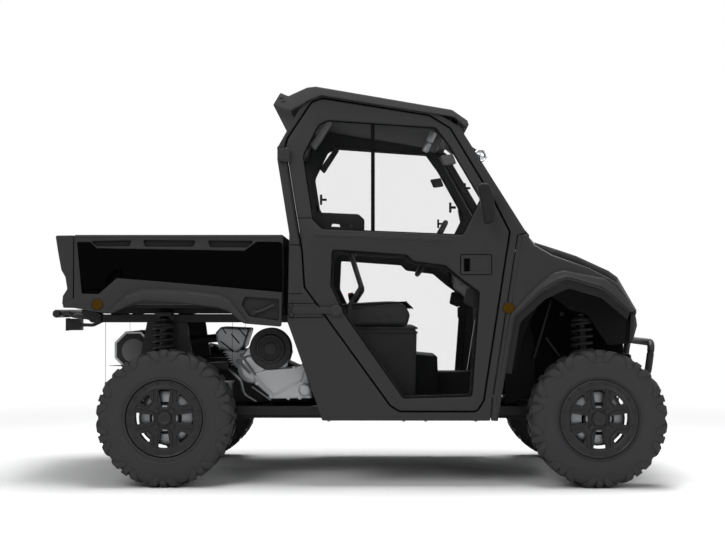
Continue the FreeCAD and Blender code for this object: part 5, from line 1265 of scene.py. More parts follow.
@dataclass
class Bed:
    """The tipping bed: moulded sides with gloss insets, floor with ribs, front wall and tailgate."""
    half: float = 0.720

    def side(self) -> tuple[Shell, Shell, Shell]:
        """The right wall's skin with its flare, its gloss inset and the latch lever in its recess."""
        outline = [(-1370, 1243, 12), (-1370, 925, 15), (-1424, 905, 10), (-1424, 881), (-1370, 880),
            (-1221, 856), (-1183, 855), (-1039, 915, 40), (-970, 920), (-649, 880), (-587, 859, 30),
            (-527, 803, 30), (-340, 787, 12), (-332, 1243, 8)]
        gloss = drawn([(-1355, 1207), (-1292, 1207), (-1257, 1176), (-524, 1163), (-462, 1208), (-347, 1207),
                (-347, 965), (-1157, 1029), (-1247, 950), (-1330, 952)], 6, 6)
        recess = drawn([(-538, 895), (-521, 936), (-352, 923), (-352, 816), (-500, 839)])
        pockets = [drawn(p, 6, 9) for p in ([(-1289, 1212), (-1085, 1216), (-1094, 1186), (-1258, 1186)],
                [(-1029, 1217), (-765, 1215), (-778, 1184), (-1017, 1184)],
                [(-706, 1215), (-472, 1213), (-512, 1180), (-693, 1181)])]
        skin = panel(drawn(outline), [gloss, recess] + pockets, flat(-self.half), 0.020, edge=0.004)
        rails = slab(drawn([(-1369, 1243, 10), (-332, 1243, 10), (-332, 1226, 4), (-1369, 1226, 4)]), -0.723,
            -0.658, 0.006)
        wide = drawn([(-1352, 1204), (-1292, 1204), (-1257, 1173), (-524, 1160), (-462, 1205), (-335, 1204),
                (-335, 957), (-1157, 1031), (-1247, 953), (-1328, 955)], 6, 9)
        inset_panel = panel(wide, [], flat(-self.half - 0.0008), 0.012, edge=0.0015)
        inner = slab(drawn([(-1370, 1240), (-1370, 898), (-332, 898), (-332, 1240)]), -0.690, -0.660, 0.003)
        return merged([skin, rails, inner, self.flare()]), inset_panel, self.lever()

    def flare(self) -> Shell:
        """The rear arch's ridge, lofted through lines from the tail to the front of the bed."""
        ridge = [(-1217, 860), (-1190, 872), (-1113, 946), (-1036, 972), (-822, 962), (-649, 939),
            (-589, 912), (-530, 838), (-504, 812)]
        edge = [(-1186, 856), (-1165, 862), (-1082, 896), (-1020, 916), (-822, 902), (-660, 882), (-598, 862),
            (-545, 818), (-527, 804)]
        rise = np.array([0.15, 0.5, 1, 1, 1, 1, 1, 0.8, 0.4])

        def line(share: float, out: float) -> Array:
            """A line at a share of the way from ridge to edge, standing out from the wall."""
            return ridge_line(ridge, edge, share, -1000 * self.half - out * rise, 40)

        return loft([line(share, out) for share, out in ((-0.12, 0.5), (0.0, 10), (0.12, 18), (0.3, 21),
                    (0.78, 25), (0.9, 24), (1.0, 17), (1.0, -19), (-0.12, -19))])

    def lever(self) -> Shell:
        """The latch lever in its recess, with the recess's back plate and pivot."""
        back = panel(drawn([(-545, 890), (-525, 948), (-338, 934), (-338, 806), (-500, 833)]), [],
            flat(-self.half + 0.024), 0.004, edge=0.001)
        bar = tube([(-478, -712, 856), (-440, -714, 866), (-375, -716, 895)], 0.009, 0.02, ACROSS)
        pivot = lathe([(0, 0), (16, 0, 2), (16, -14, 3), (0, -14)], design((-478, -700, 856)), 24)
        return merged([back, bar, pivot])

    def pocket_floors(self) -> Shell:
        """The dark backs of the three hand pockets under the rail."""
        return merged([slab(oblong(a, 1222, b, 1176, 3, 3), -0.698, -0.692, 0.001)
                for a, b in ((-1298, -1078), (-1036, -758), (-712, -462))])

    def floor(self) -> Shell:
        """Bed floor with long ribs, the front wall with its posts, and the two rails under the floor."""
        plate = brick(design((-1369, -660, 880)), design((-332, 660, 896)))
        ribs = [sweep(design([(-1350.0, y, 897), (-360.0, y, 897)]), rib_section(22, -4, 14, 3, 3))
            for y in range(-560, 561, 140)]
        wall = slab(drawn([(-360, 896), (-332, 896), (-332, 1243, 8), (-360, 1243, 8)], 5, 2), -0.66, 0.66)
        posts = [brick(design((-366, y - 20, 900)), design((-358, y + 20, 1225)))
            for y in (-450, -150, 150, 450)]
        rails = [brick(design((-1398, s * 354 - 20, 850.5)), design((-345, s * 354 + 20, 880)))
            for s in (-1, 1)]
        return merged([plate, wall] + ribs + posts + rails)

    def tailgate(self) -> None:
        """The tailgate: its profile across the bed, a pressed field on the outside, handle and tail lamps."""
        profile = [(-1464, 1240, 10), (-1449, 1148, 20), (-1434, 1068, 20), (-1414, 1034, 15),
            (-1404, 974, 20), (-1426, 940, 10), (-1429, 900, 8), (-1417, 885, 5), (-1374, 885, 4),
            (-1374, 1241, 4)]
        body = slab(drawn(profile, 6, 4), -0.717, 0.717, 0.005, 4)
        field = [slab(drawn([(-1466, 1222, 3), (-1460, 1222, 3), (-1447, 1120, 3), (-1454, 1120, 3)], 4), y0,
                y1, 0.003) for y0, y1 in ((-0.60, -0.21), (-0.17, 0.17), (0.21, 0.60))]
        handle = slab(drawn([(-1452, 1075, 4), (-1432, 1075, 4), (-1432, 1052, 4), (-1448, 1052, 4)]), -0.11,
            0.11, 0.004)
        finish_piece("tailgate_skin", merged([body] + field), Finishes.BODY, ["tailgate"], "tailgate")
        finish_piece("tailgate_handle", handle, Finishes.GLOSS, body="tailgate")
        lamps = slab(drawn([(-1376, 1200, 6), (-1370, 1200, 3), (-1370, 1010, 3), (-1376, 1010, 6)], 4),
            -0.690, -0.672, 0.003)
        finish_piece("tail_lamps", lamps.both(), Finishes.RED, body="bed")

    def build(self) -> None:
        """Make the bed."""
        paint, gloss, lever = self.side()
        finish_piece("bed_side_skins", paint.both(), Finishes.BODY, ["bed_sides"], body="bed")
        finish_piece("bed_side_insets", gloss.both(), Finishes.GLOSS, body="bed")
        finish_piece("bed_latch_levers", lever.both(), Finishes.TUBE, body="bed")
        finish_piece("bed_pocket_floors", self.pocket_floors().both(), Finishes.TRIM, body="bed")
        finish_piece("bed_floor_plate", self.floor(), Finishes.TRIM, ["bed_floor"], body="bed", bevel=0.002)
        self.tailgate()


# Seats and what the driver reaches

@dataclass
class Seats:
    """Stuffed cushions and backs with welts, their base, the guards at the hips and the belt buckles."""
    low_y: float = -0.600
    high_y: float = -0.060
    voxel: float = 0.0085
    swell: float = 0.030
    pressure: float = 4.0
    stiffness: float = 12.0
    frames: int = 20

    def evened(self, name: str, shell: Shell) -> bpy.types.Mesh:
        """The shell as a mesh of even cells of the voxel's size."""
        mesh = bpy.data.meshes.new(name + "_blank")
        mesh.from_pydata(shell.points.tolist(), [], shell.faces)
        blank = bpy.data.objects.new(name + "_blank", mesh)
        bpy.context.scene.collection.objects.link(blank)
        remesh = blank.modifiers.new("remesh", "REMESH")
        remesh.mode, remesh.voxel_size = "VOXEL", self.voxel
        graph = bpy.context.evaluated_depsgraph_get()
        even = bpy.data.meshes.new_from_object(blank.evaluated_get(graph))
        bpy.data.objects.remove(blank)
        return even

    def blown_up(self, name: str, even: bpy.types.Mesh) -> Array:
        """The mesh's points after the pressure has pushed its cloth out for some frames.

        Args:
            name: the pad's name.
            even: the mesh.

        Returns:
            Points (n, 3): each drift d is held back by the swell s, p' = p + d s / (s + |d|).
        """
        scene = bpy.context.scene
        rest = vertices_of(even)
        pad = bpy.data.objects.new(name + "_pad", even)
        scene.collection.objects.link(pad)
        cloth = pad.modifiers.new("cloth", "CLOTH")
        cloth.settings.use_pressure, cloth.settings.uniform_pressure_force = True, self.pressure
        cloth.settings.effector_weights.gravity = 0.0
        cloth.settings.tension_stiffness = cloth.settings.compression_stiffness = self.stiffness
        cloth.point_cache.frame_start, cloth.point_cache.frame_end = 1, self.frames
        for step in range(1, self.frames + 1):
            scene.frame_set(step)
        graph = bpy.context.evaluated_depsgraph_get()
        drift = vertices_of(pad.evaluated_get(graph).to_mesh()) - rest
        pad.evaluated_get(graph).to_mesh_clear()
        pad.modifiers.clear()
        scene.frame_set(1)
        bpy.data.objects.remove(pad)
        length = np.linalg.norm(drift, axis=1)[:, None]
        log.info("%s: cloth moved by up to %.1f mm", name, float(length.max()) * 1000)
        return rest + drift * self.swell / (self.swell + length)

    def stuffed(self, name: str, shell: Shell, node: str) -> None:
        even = self.evened(name, shell)
        points = self.blown_up(name, even)
        self.pair(name, Shell(points, [list(face.vertices) for face in even.polygons]), node)

    def pair(self, name: str, shell: Shell, node: str) -> None:
        """Finish the pad and its mirror image; the right one takes the node."""
        for side, pad in (("right", shell), ("left", shell.mirrored())):
            piece = finish_piece("%s_%s" % (name, side), pad, Finishes.VINYL, [node] if side == "right"
                else [], angle=60, subdivide=1)

    def cushion(self) -> Shell:
        """The seat cushion before it is blown up: a deep flat pad whose front edge is rounded."""
        profile = drawn([(-136, 788, 10), (296, 790, 14), (312, 846, 20), (284, 899, 28), (-124, 876, 22)], 6)
        return slab(profile, self.low_y + 0.012, self.high_y - 0.012, 0.016, 4)

    def back(self) -> Shell:
        """The seat back before it is blown up: a tall pad that leans and thins towards its top."""
        profile = drawn([(-146, 905, 24), (-160, 866, 8), (-222, 866, 8), (-242, 1366, 24), (-188, 1384, 22)],
            6)
        return slab(profile, self.low_y + 0.012, self.high_y - 0.012, 0.018, 4)

    def welts(self) -> Shell:
        """Piping round each pad: thin cords that follow the pad's outline a little above its seams."""
        lines = []
        for corners in ([(-128, 884), (278, 910), (314, 876)], [(-134, 915), (-170, 1396)]):
            for y in (self.low_y + 0.018, self.high_y - 0.018):
                lines.append(pipe(design([(x, y * 1000, z) for x, z in corners]), 0.0042, 0.03, ACROSS, 8))
        across = [(281, 911), (-128, 884), (-170, 1397)]
        lines += [tube([(x, self.low_y * 1000 + 20, z), (x, self.high_y * 1000 - 20, z)], 0.0042, sides=8)
            for x, z in across]
        return merged(lines)

    def base(self) -> Shell:
        """The seat base: a moulded box with two flange lines under the cushion and a front recess."""
        box = slab(drawn([(-118, 380.5), (325, 380.5), (333, 758, 14), (322, 781, 8), (-255, 781),
                    (-262, 800)], 5, 3), -0.600, 0.600, 0.006)
        flange = [slab(drawn([(-150, z, 2), (338, z, 3), (338, z + 9, 3), (-150, z + 9, 2)], 3), -0.606,
                0.606, 0.003) for z in (752, 774)]
        return merged([box] + flange)

    def guards(self) -> tuple[Shell, Shell]:
        """The hip guards: a doubly bent tube and the slotted plate above it."""
        y = -611.3
        rail = tube([(0, y, 1300), (-5, y, 1165), (52, y, 985), (-2, y, 900), (-30, y, 700)], 0.011, 0.03,
            ACROSS)
        brace = tube([(2, y + 30, 1290), (-5, y + 30, 1165), (50, y + 30, 985), (-2, y + 30, 905),
                (-20, y + 30, 800)], 0.009, 0.03, ACROSS)
        plate = panel(drawn([(-187, 1262, 10), (70, 1262, 10), (70, 1325, 20), (40, 1352, 20),
                    (-187, 1362, 20)]), [drawn([(-100, 1282, 6), (-50, 1280, 6), (-56, 1300, 6),
                    (-90, 1304, 6)])], flat(y / 1000 - 0.003), 0.006, edge=0.002)
        return rail + brace, plate

    def build(self) -> None:
        """Make the seats."""
        self.stuffed("seat_cushion", self.cushion(), "seat_cushions")
        self.stuffed("seat_back", self.back(), "seat_backs")
        finish_piece("seat_welts", self.welts().both(), Finishes.SEAL)
        finish_piece("seat_box", self.base(), Finishes.TRIM, ["seat_base"])
        rails, plate = self.guards()
        finish_piece("hip_guard_tubes", rails.both(), Finishes.TUBE, ["seat_guards"])
        finish_piece("hip_guard_plates", plate.both(), Finishes.TRIM)
        buckle = slab(drawn([(66, 925, 6), (96, 932, 6), (90, 968, 6), (60, 960, 6)], 4), -0.545, -0.515,
            0.004)
        button = slab(drawn([(62, 955, 3), (88, 962, 3), (85, 972, 3), (60, 966, 3)], 4), -0.542, -0.518,
            0.002)
        finish_piece("belt_buckles", buckle.moved(x=-0.075, z=-0.012).both(), Finishes.SEAL)
        finish_piece("buckle_buttons", button.moved(x=-0.075, z=-0.012).both(), Finishes.RED)


@dataclass
class Cockpit:
    """Dashboard with its screen, steering wheel, console with pedals and floor."""
    wheel_centre: tuple = (0.4345, 0.360, 1.220)
    axis: tuple = (0.877, 0.0, -0.480)
    pedal_y: tuple = (0.245, 0.385)

    def dashboard(self) -> Shell:
        """The dash moulding with a hooded cluster before the driver, grips and a glove bin line."""
        main_roll = slab(drawn([(766, 1222, 4), (640, 1213, 30), (562, 1150, 30), (586, 1002, 30),
                    (690, 902, 20), (753, 902, 4), (766, 1185, 4)], 7), -0.684, 0.684, 0.012, 4)
        hood = slab(drawn([(700, 1216, 10), (632, 1250, 18), (596, 1232, 12), (604, 1196, 10),
                    (690, 1190, 8)], 6), 0.235, 0.485, 0.014, 4)
        shelf = slab(drawn([(560, 1140, 4), (552, 1132, 6), (556, 1096, 6), (566, 1090, 4), (600, 1100, 4)],
                4), -0.60, -0.12, 0.006)
        grip = tube([(600, -520, 1168), (566, -520, 1185), (566, -240, 1185), (600, -240, 1168)], 0.012, 0.03)
        return merged([main_roll, hood, shelf, grip])

    def hand_wheel(self) -> Shell:
        """The steering wheel: a round grip, three flat spokes and a padded hub."""
        axis = np.array(self.axis) / np.linalg.norm(self.axis)
        centre = np.array(self.wheel_centre)
        rim = ring_of(0.168, 0.0150, centre, axis, 72, 16)
        hub = revolve(turned_profile([(0, -6), (34, -6, 6), (46, 4, 8), (40, 22, 8), (30, 44, 4), (0, 44)],
                4), centre, axis, 40)
        side = np.array([0.0, 1.0, 0.0])
        up = np.cross(axis, side)
        spokes = []
        for degrees in (-90, 30, 150):
            a = math.radians(degrees)
            out = math.cos(a) * side - math.sin(a) * up if degrees != -90 else up * -1.0
            path = np.stack([centre + axis * 0.012 + out * 0.030, centre + axis * 0.011 + out * 0.090,
                    centre + axis * 0.002 + out * 0.162])
            section = rounded([(-15, -5, 3), (15, -5, 3), (15, 5, 3), (-15, 5, 3)], 4) / 1000
            spokes.append(sweep(path, section, np.cross(out, axis), sizes=np.array([1.15, 0.9, 0.95])))
        return merged([rim, hub] + spokes)

    def floor(self) -> Shell:
        """The floor tub with raised ribs and the toe board."""
        pan = slab(drawn([(-124, 368), (680, 368), (752, 560, 30), (780, 1186), (768, 1186), (740, 562, 30),
                    (671, 380), (-128, 380)], 6, 3), -0.6845, 0.6845, 0.003)
        ribs = [slab(drawn([(340, 379, 1), (664, 379, 1), (664, 384, 2), (340, 384, 2)], 3), y - 0.006,
                y + 0.006, 0.002) for y in np.arange(-0.62, 0.63, 0.062) if abs(y) > 0.13]
        return merged([pan] + ribs)

    def console(self) -> Shell:
        """The steps in front of the seats, the tunnel and the two pedals."""
        step = slab(drawn([(335, 380.5, 3), (454, 380.5, 3), (454, 528, 6), (451, 626, 8), (335, 637, 5)], 6),
            -0.262, 0.262, 0.010, 4)
        tunnel = slab(drawn([(450, 380.5, 3), (669, 380.5, 3), (726, 536, 24), (450, 536, 5)], 6), -0.110,
            0.110, 0.014, 4)
        pedals = [slab(drawn([(640, 430, 4), (652, 424, 4), (676, 500, 4), (664, 506, 4)], 4), y, y + 0.065,
                0.004) for y in self.pedal_y]
        stems = [tube([(668, y * 1000 + 32, 495), (700, y * 1000 + 32, 600), (735, y * 1000 + 32, 640)],
                0.007, 0.03, ACROSS) for y in self.pedal_y]
        return merged([step, tunnel] + pedals + stems)

    def build(self) -> None:
        """Make the cockpit."""
        finish_piece("dash_moulding", self.dashboard(), Finishes.TRIM, ["dashboard"])
        finish_piece("steering_grip", self.hand_wheel(), Finishes.VINYL, ["steering_wheel"],
            body="steering_wheel")
        finish_piece("floor_moulding", self.floor(), Finishes.TRIM, ["floor_tub"])
        finish_piece("console_moulding", self.console(), Finishes.TRIM, ["console"])
        screen = slab(drawn([(592, 1228, 3), (600, 1196, 3), (604, 1196, 2), (597, 1229, 2)], 3), 0.262,
            0.458, 0.002)
        finish_piece("cluster_screen", screen, Finishes.GLOSS)


# Running gear

@dataclass
class Suspension:
    """Dampers with their coils and boots, and the boots of the drive shafts."""
    wire: float = 0.0072
    coil_radius: float = 0.0510
    turns: float = 9.5

    def damper(self, foot: Array, top: Array) -> dict[str, Shell]:
        """One damper between its two eyes: rod, body, boot, spring seats and the coil.

        Heights are shares of its length: the body from 0.52, the boot from 0.30 to 0.52, the coil from
        0.268 to 0.897 between its seats.
        """
        run = top - foot
        length = float(np.linalg.norm(run)) * 1000
        body = between(foot, top, [(0, length * 0.52), (21, length * 0.52, 3), (21, length * 0.955, 4),
                (30, length * 0.955, 2), (30, length - 14, 3), (14, length - 1, 3), (0, length - 1)])
        bellows = [(0, length * 0.30)]
        for k in range(8):
            z = length * (0.30 + 0.027 * k)
            bellows += [(24, z, 1.5), (30, z + length * 0.0135, 2)]
        bellows += [(24, length * 0.516, 1.5), (0, length * 0.516)]
        rod = between(foot, top, [(0, 1), (16, 1, 4), (16, 34, 4), (11, 40, 2), (11, length * 0.31),
                (0, length * 0.31)])
        seat_low = between(foot, top, [(11, length * 0.235), (46, length * 0.235, 3), (56, length * 0.245, 3),
                (56, length * 0.262, 2), (11, length * 0.262)])
        seat_top = between(foot, top, [(21, length * 0.90), (54, length * 0.90, 3), (54, length * 0.918, 3),
                (40, length * 0.94, 3), (21, length * 0.94)])
        spring = coil(foot + run * 0.268, foot + run * 0.897, self.coil_radius, self.wire, self.turns)
        return {"steel": merged([rod, seat_low, seat_top, spring]), "body": body,
            "boot": between(foot, top, bellows, 28)}

    def build(self) -> None:
        """Make the four dampers and the shaft boots."""
        dampers = [self.damper(design(foot), design(top)) for foot, top in (((1187, -458, 332.5),
                    (1187, -420, 863)), ((-963, -460, 337), (-963, -446, 838)))]
        steel, bodies, boots = [merged([d[kind] for d in dampers]) for kind in ("steel", "body", "boot")]
        # Springs, rods and seats take the body's grey, lighter than their black steel: painted highlights on
        # the coils
        finish_piece("damper_springs", steel.both(), Finishes.BODY, ["shocks"])
        finish_piece("damper_bodies", bodies.both(), Finishes.TUBE)
        finish_piece("damper_boots", boots.both(), Finishes.SEAL)
        boots = []
        for x, y0, y1, z0, z1, wide in ((1218, -110, -180, 388, 381, 36), (-912, -140, -205, 390, 383, 40)):
            start, end = design((x, y0, z0)), design((x, y1, z1))
            run = float(np.linalg.norm(end - start)) * 1000
            profile = [(10, 0)]
            for k in range(5):
                r = wide - k * (wide - 18) / 5
                profile += [(r, run * k / 5 + 1, 2), (r - 7, run * (k + 0.6) / 5, 2)]
            profile += [(17, run, 2), (10, run)]
            boots.append(between(start, end, profile, 28))
        finish_piece("shaft_boots", merged(boots).both(), Finishes.SEAL)


@dataclass
class Drive:
    """Engine with its covers and rods, the belt drive's drum and the muffler.

    drum is the centre of the belt drive's drum in design millimetres, can the muffler's.
    """
    drum: tuple = (-423, 0, 667)
    can: tuple = (-1140, 659)
    can_half: float = 98.0

    def engine(self) -> dict[str, Shell]:
        """The engine: crankcase with ribs and starter, cylinder with fins and head, and dark lines on the
        head that are painted shade along its ribs.
        """
        case = slab(drawn([(-636, 372, 8), (-206, 372, 8), (-206, 390, 6), (-264, 512, 30), (-285, 560, 25),
                    (-420, 620, 20), (-600, 600, 20), (-636, 470, 20)], 6), -0.174, 0.194, 0.012, 4)
        head = slab(drawn([(-730, 748, 10), (-700, 779, 12), (-545, 772, 12), (-575, 675, 18),
                    (-612, 640, 14), (-712, 668, 14)], 6), -0.176, 0.100, 0.012, 4)
        fins = [slab(drawn([(-690 + i * 9, 640 - i * 13, 3), (-560 + i * 9, 652 - i * 13, 3),
                    (-560 + i * 9, 658 - i * 13, 3), (-690 + i * 9, 646 - i * 13, 3)], 3), -0.172, 0.095,
                0.002) for i in range(6)]
        barrel = slab(drawn([(-680, 650), (-570, 660), (-505, 570), (-620, 560)], 5), -0.160, 0.085, 0.006)
        ribs = [slab(oblong(-600 + i * 60, 400, -592 + i * 60, 596 - i * 12, 3, 3), -0.1785, -0.172, 0.002)
            for i in range(6)]
        starter = lathe([(0, -70), (40, -70, 6), (40, 60, 4), (30, 78, 8), (0, 80)],
            design((-300, -100, 470)), 32)
        # Thin dark tubes on the head: painted shade along its diagonal ribs
        lines = [tube([(x0, -176, z0), (x1, -176, z1)], 0.0035, up=ACROSS, sides=8)
            for x0, z0, x1, z1 in ((-645, 742, -600, 690), (-702, 704, -632, 648), (-606, 772, -566, 726),
                (-690, 770, -672, 742))]
        return {"case": merged([case, starter] + ribs), "head": merged([head, barrel] + fins),
            "lines": merged(lines)}

    def cover(self) -> Shell:
        """The belt drive's drum with its concentric rings, spokes and screws."""
        hub = design(self.drum)
        x, _, z = self.drum
        front = lathe([(0, -350), (32, -350, 3), (34, -344, 2), (60, -343, 2), (63, -350, 2), (72, -350, 4),
                (78, -338, 4), (104, -335, 6), (110, -326, 6), (110, -245, 2), (0, -245)], hub, 56)
        rings = [lathe([(r - 2.5, -343), (r - 2, -347.5, 1), (r + 2, -347.5, 1), (r + 2.5, -343)], hub, 48, 3)
            for r in (41, 49, 56)]
        spokes = [sweep(design([(x, -337.5, z + 78), (x, -334.5, z + 104)]), rib_section(3, -3, 2, 3, 1, 2),
                (1, 0, 0)).turned(k * 22.5, 1, hub) for k in range(16)]
        screws = [bolt(design((x + 95 * math.cos(a), -331, z + 95 * math.sin(a))), (0, -1, 0), 0.0055, 0.005)
            for a in np.radians(np.arange(8) * 45 + 11)]
        return merged([front] + rings + spokes + screws)

    def covers(self) -> tuple[Shell, Shell]:
        """The cast covers behind and below the drum with bolts and motor, and the rods before them."""
        back = slab(drawn([(-592, 600, 14), (-500, 735, 20), (-352, 745, 14), (-313, 650, 20),
                    (-340, 560, 16), (-455, 500, 12), (-590, 515, 20)], 6), -0.300, -0.182, 0.008, 4)
        low = slab(drawn([(-522, 536, 10), (-440, 560, 20), (-300, 570, 16), (-240, 592, 10), (-204, 408, 8),
                    (-415, 404, 14), (-502, 480, 14)], 6), -0.322, -0.182, 0.009, 4)
        ridge = [slab(drawn(line, 3), -0.330, -0.318, 0.003) for line in ([(-500, 505, 3), (-408, 418, 3),
                    (-400, 425, 3), (-492, 513, 3)], [(-408, 418, 3), (-262, 500, 3), (-266, 508, 3),
                    (-412, 426, 3)], [(-262, 500, 3), (-236, 588, 3), (-245, 588, 3), (-270, 506, 3)])]
        spots = [(-508, 528), (-494, 486), (-424, 414), (-360, 448), (-310, 478), (-226, 420), (-240, 560),
            (-300, 566), (-330, 410), (-270, 412)]
        heads = [bolt(design((x, -322, z)), (0, -1, 0), 0.0075, 0.007) for x, z in spots]
        rear = lathe([(0, -318), (52, -318, 6), (70, -312, 8), (76, -300, 6), (76, -245, 2), (0, -245)],
            design((-520, 0, 560)), 48)
        motor = lathe([(0, -356), (22, -356, 3), (33, -350, 4), (33, -250, 3), (0, -250)],
            design((-243, 0, 452)), 32)
        rods = [tube([(x0, -338, z0), (x1, -338, z1)], r, up=ACROSS) for x0, z0, x1, z1, r in (
                (-600, 612, -528, 540, 0.006), (-580, 640, -500, 528, 0.005), (-520, 470, -420, 400, 0.006))]
        rods += [tube([(-640, -300, 560), (-575, -330, 500), (-560, -330, 430), (-500, -300, 392)], 0.008,
                0.05, ACROSS)]
        return merged([back, low, rear, motor] + ridge + heads), merged(rods)

    def muffler(self) -> tuple[Shell, Shell, Shell]:
        """The muffler: an octagonal can with the pipe to the engine, two rolled rims and the end cap."""
        half = self.can_half
        side = half * math.tan(math.pi / 8)
        octagon = [(self.can[0] + sx, self.can[1] + sz, 14) for sx, sz in ((half, -side), (half, side),
                (side, half), (-side, half), (-half, side), (-half, -side), (-side, -half), (side, -half))]
        can = slab(drawn(octagon, 5), -0.332, 0.119, 0.010, 4)
        rims = []
        for y0, y1 in ((-0.333, -0.322), (0.110, 0.120)):
            loop = inward(drawn(octagon, 5), -0.001)
            rims.append(panel(loop, [inward(loop, 0.013)], flat(y0), y1 - y0, edge=0.003))
        end = lathe([(0, -339), (52, -338, 3), (62, -337, 2), (64, -334, 1), (64, -330), (0, -330)],
            design((-1136, 0, 657)), 48)
        pipe_in = tube([(-1046, 0, 700), (-900, 0, 702), (-740, 0, 716)], 0.023, 0.1, ACROSS)
        return merged([can, pipe_in]), merged(rims), end

    def build(self) -> None:
        """Make the drive's pieces."""
        engine = self.engine()
        finish_piece("engine_case", engine["case"], Finishes.HEAT, ["engine"])
        # The head's dark lines are painted shade along its ribs
        finish_piece("engine_head_painted_shade_lines", engine["lines"], Finishes.HEAT)
        finish_piece("engine_head", engine["head"], Finishes.CAST)
        # The belt cover's lighter grey is painted light against the shade under the bed
        finish_piece("belt_cover_moulding", self.cover(), Finishes.NYLON, ["belt_drive_cover"])
        covers, rods = self.covers()
        finish_piece("engine_covers", covers, Finishes.CAST)
        finish_piece("engine_rods", rods, Finishes.STEEL)
        can, rims, end = self.muffler()
        finish_piece("muffler_can", can, Finishes.HEAT, ["muffler"])
        finish_piece("muffler_rims", rims, Finishes.CAST)
        # The end's grey is partly its own and partly painted light against the shade under the bed
        finish_piece("muffler_end", end, Finishes.PRIMER)


@dataclass
class Bars:
    """Round bars front and rear: the bumper loop with its plate, the rear bar with the hitch receiver."""
    receiver_half: float = 0.03175
    bore_half: float = 0.0254

    def front(self) -> Shell:
        """The bumper loop before the nose."""
        return tube([(1442, -350, 520), (1536, -350, 520), (1561, -350, 700), (1561, 350, 700),
                (1536, 350, 520), (1442, 350, 520)], 0.019, 0.060, (0, 0.02, 1), 20)

    def plate(self) -> Shell:
        """The plate behind the loop with its two slots, laid out as a right side and turned to the front."""
        outline = rounded([(-0.370, 0.420, 0.02), (0.370, 0.420, 0.02), (0.370, 0.640, 0.03),
                (-0.370, 0.640, 0.03)])
        slots = [rounded([(s * 0.19 - 0.075, 0.500, 0.015), (s * 0.19 + 0.075, 0.500, 0.015),
                    (s * 0.19 + 0.060, 0.580, 0.015), (s * 0.19 - 0.060, 0.580, 0.015)]) for s in (-1, 1)]
        return facing(panel(outline, slots, flat(-(1452 - STATION_SHIFT) / 1000), 0.012, edge=0.004))

    def rear(self) -> Shell:
        """The rear bar with its two arms and the posts at the receiver."""
        ends = lathe([(0, -350), (17, -350, 3), (21, -346, 2), (21, 346, 2), (17, 350, 3), (0, 350)],
            design((-1541, 0, 850)), 32)
        arm = tube([(-1541, -309, 850), (-1490, -309, 858), (-1462, -309, 838), (-1350, -309, 824)], 0.010,
            0.02, ACROSS)
        stay = tube([(-1352, -309, 824), (-1111, -309, 866)], 0.006)
        post = tube([(-1541, -22, 846), (-1500, -22, 842), (-1350, -22, 812)], 0.009, 0.02, ACROSS)
        low = tube([(-1490, -22, 788), (-1420, -22, 786), (-1345, -22, 822)], 0.009, 0.02, ACROSS)
        return merged([ends, arm.both(), stay.both(), post.both(), low.both()])

    def receiver(self) -> Shell:
        """The square receiver tube with its socket and a rolled mouth."""
        outer, inner = self.receiver_half, self.bore_half
        x0, x1 = (-1562 - STATION_SHIFT) / 1000, (-1478 - STATION_SHIFT) / 1000
        z = 0.790

        def corners(h: float, x: float, r: float) -> Array:
            """A square of half side h and corner radius r at the station x, as points."""
            square = rounded([(-h, -h, r), (h, -h, r), (h, h, r), (-h, h, r)], 6) + np.array([0, z])
            return np.stack([np.full(len(square), x), square[:, 0], square[:, 1]], 1)

        rings = [corners(outer, x1, 0.006), corners(outer, x0 + 0.012, 0.006),
            corners(outer + 0.0025, x0 + 0.011, 0.007), corners(outer + 0.0025, x0, 0.007),
            corners(inner, x0, 0.003), corners(inner, x1 - 0.012, 0.003),
            corners(inner * 0.2, x1 - 0.010, 0.003)]
        return grid(np.stack(rings), close_columns=True, caps=True)

    def build(self) -> None:
        """Make the bars."""
        finish_piece("bumper_loop", self.front() + self.plate(), Finishes.TUBE, ["front_bumper"])
        finish_piece("rear_bar", self.rear() + self.receiver(), Finishes.TUBE, ["hitch_bumper"])


# Frame, stage, camera and light

@dataclass
class Frame:
    """Bars and plates whose CAD shape is right: their edges are softened and their finish is set.

    Each entry of plain is a CAD node and its finish.
    """
    tubes: tuple = ("frame_rails", "frame_uprights", "frame_crossmembers", "cab_crossbars", "suspension_arms",
        "door_hinges")
    trims: tuple = ("rear_wall", "cowl_panel", "skid_plate", "steering_column")
    plain: tuple = (("gearcases", Finishes.CAST), ("rear_knuckles", Finishes.CAST),
        ("knuckle_right", Finishes.CAST), ("knuckle_left", Finishes.CAST), ("tie_rods", Finishes.STEEL),
        ("drive_shafts", Finishes.STEEL), ("prop_shaft", Finishes.STEEL))

    def build(self) -> None:
        """Soften the bars and plates and give the rest their finish."""
        body_of = {node: body for body, nodes in frame["record"]["behaviour"]["bodies"].items()
            for node in nodes}
        # The stays under the bed are slimmer than the CAD's tubes, so what lies round each centre is thinned
        thin = {"frame_uprights": [(-1.2905, 0.360, 0.65, 0.0212, 0.0212, 0.22, 0.04, 0.04, 1.0),
                (-0.6305, 0.360, 0.60, 0.0212, 0.0212, 0.30, 0.05, 0.05, 1.0)],
            "frame_rails": [(-1.2705, 0.360, 0.58, 0.01, 0.0212, 0.03, 1.0, 0.06, 0.06)]}
        for node in self.tubes:
            softened(node, Finishes.TUBE, body_of[node], 0.0015, slim=thin.get(node, ()))
        for node in self.trims:
            softened(node, Finishes.TRIM, body_of[node], 0.002)
        for node, finish in self.plain:
            softened(node, finish, body_of[node], 0.002)


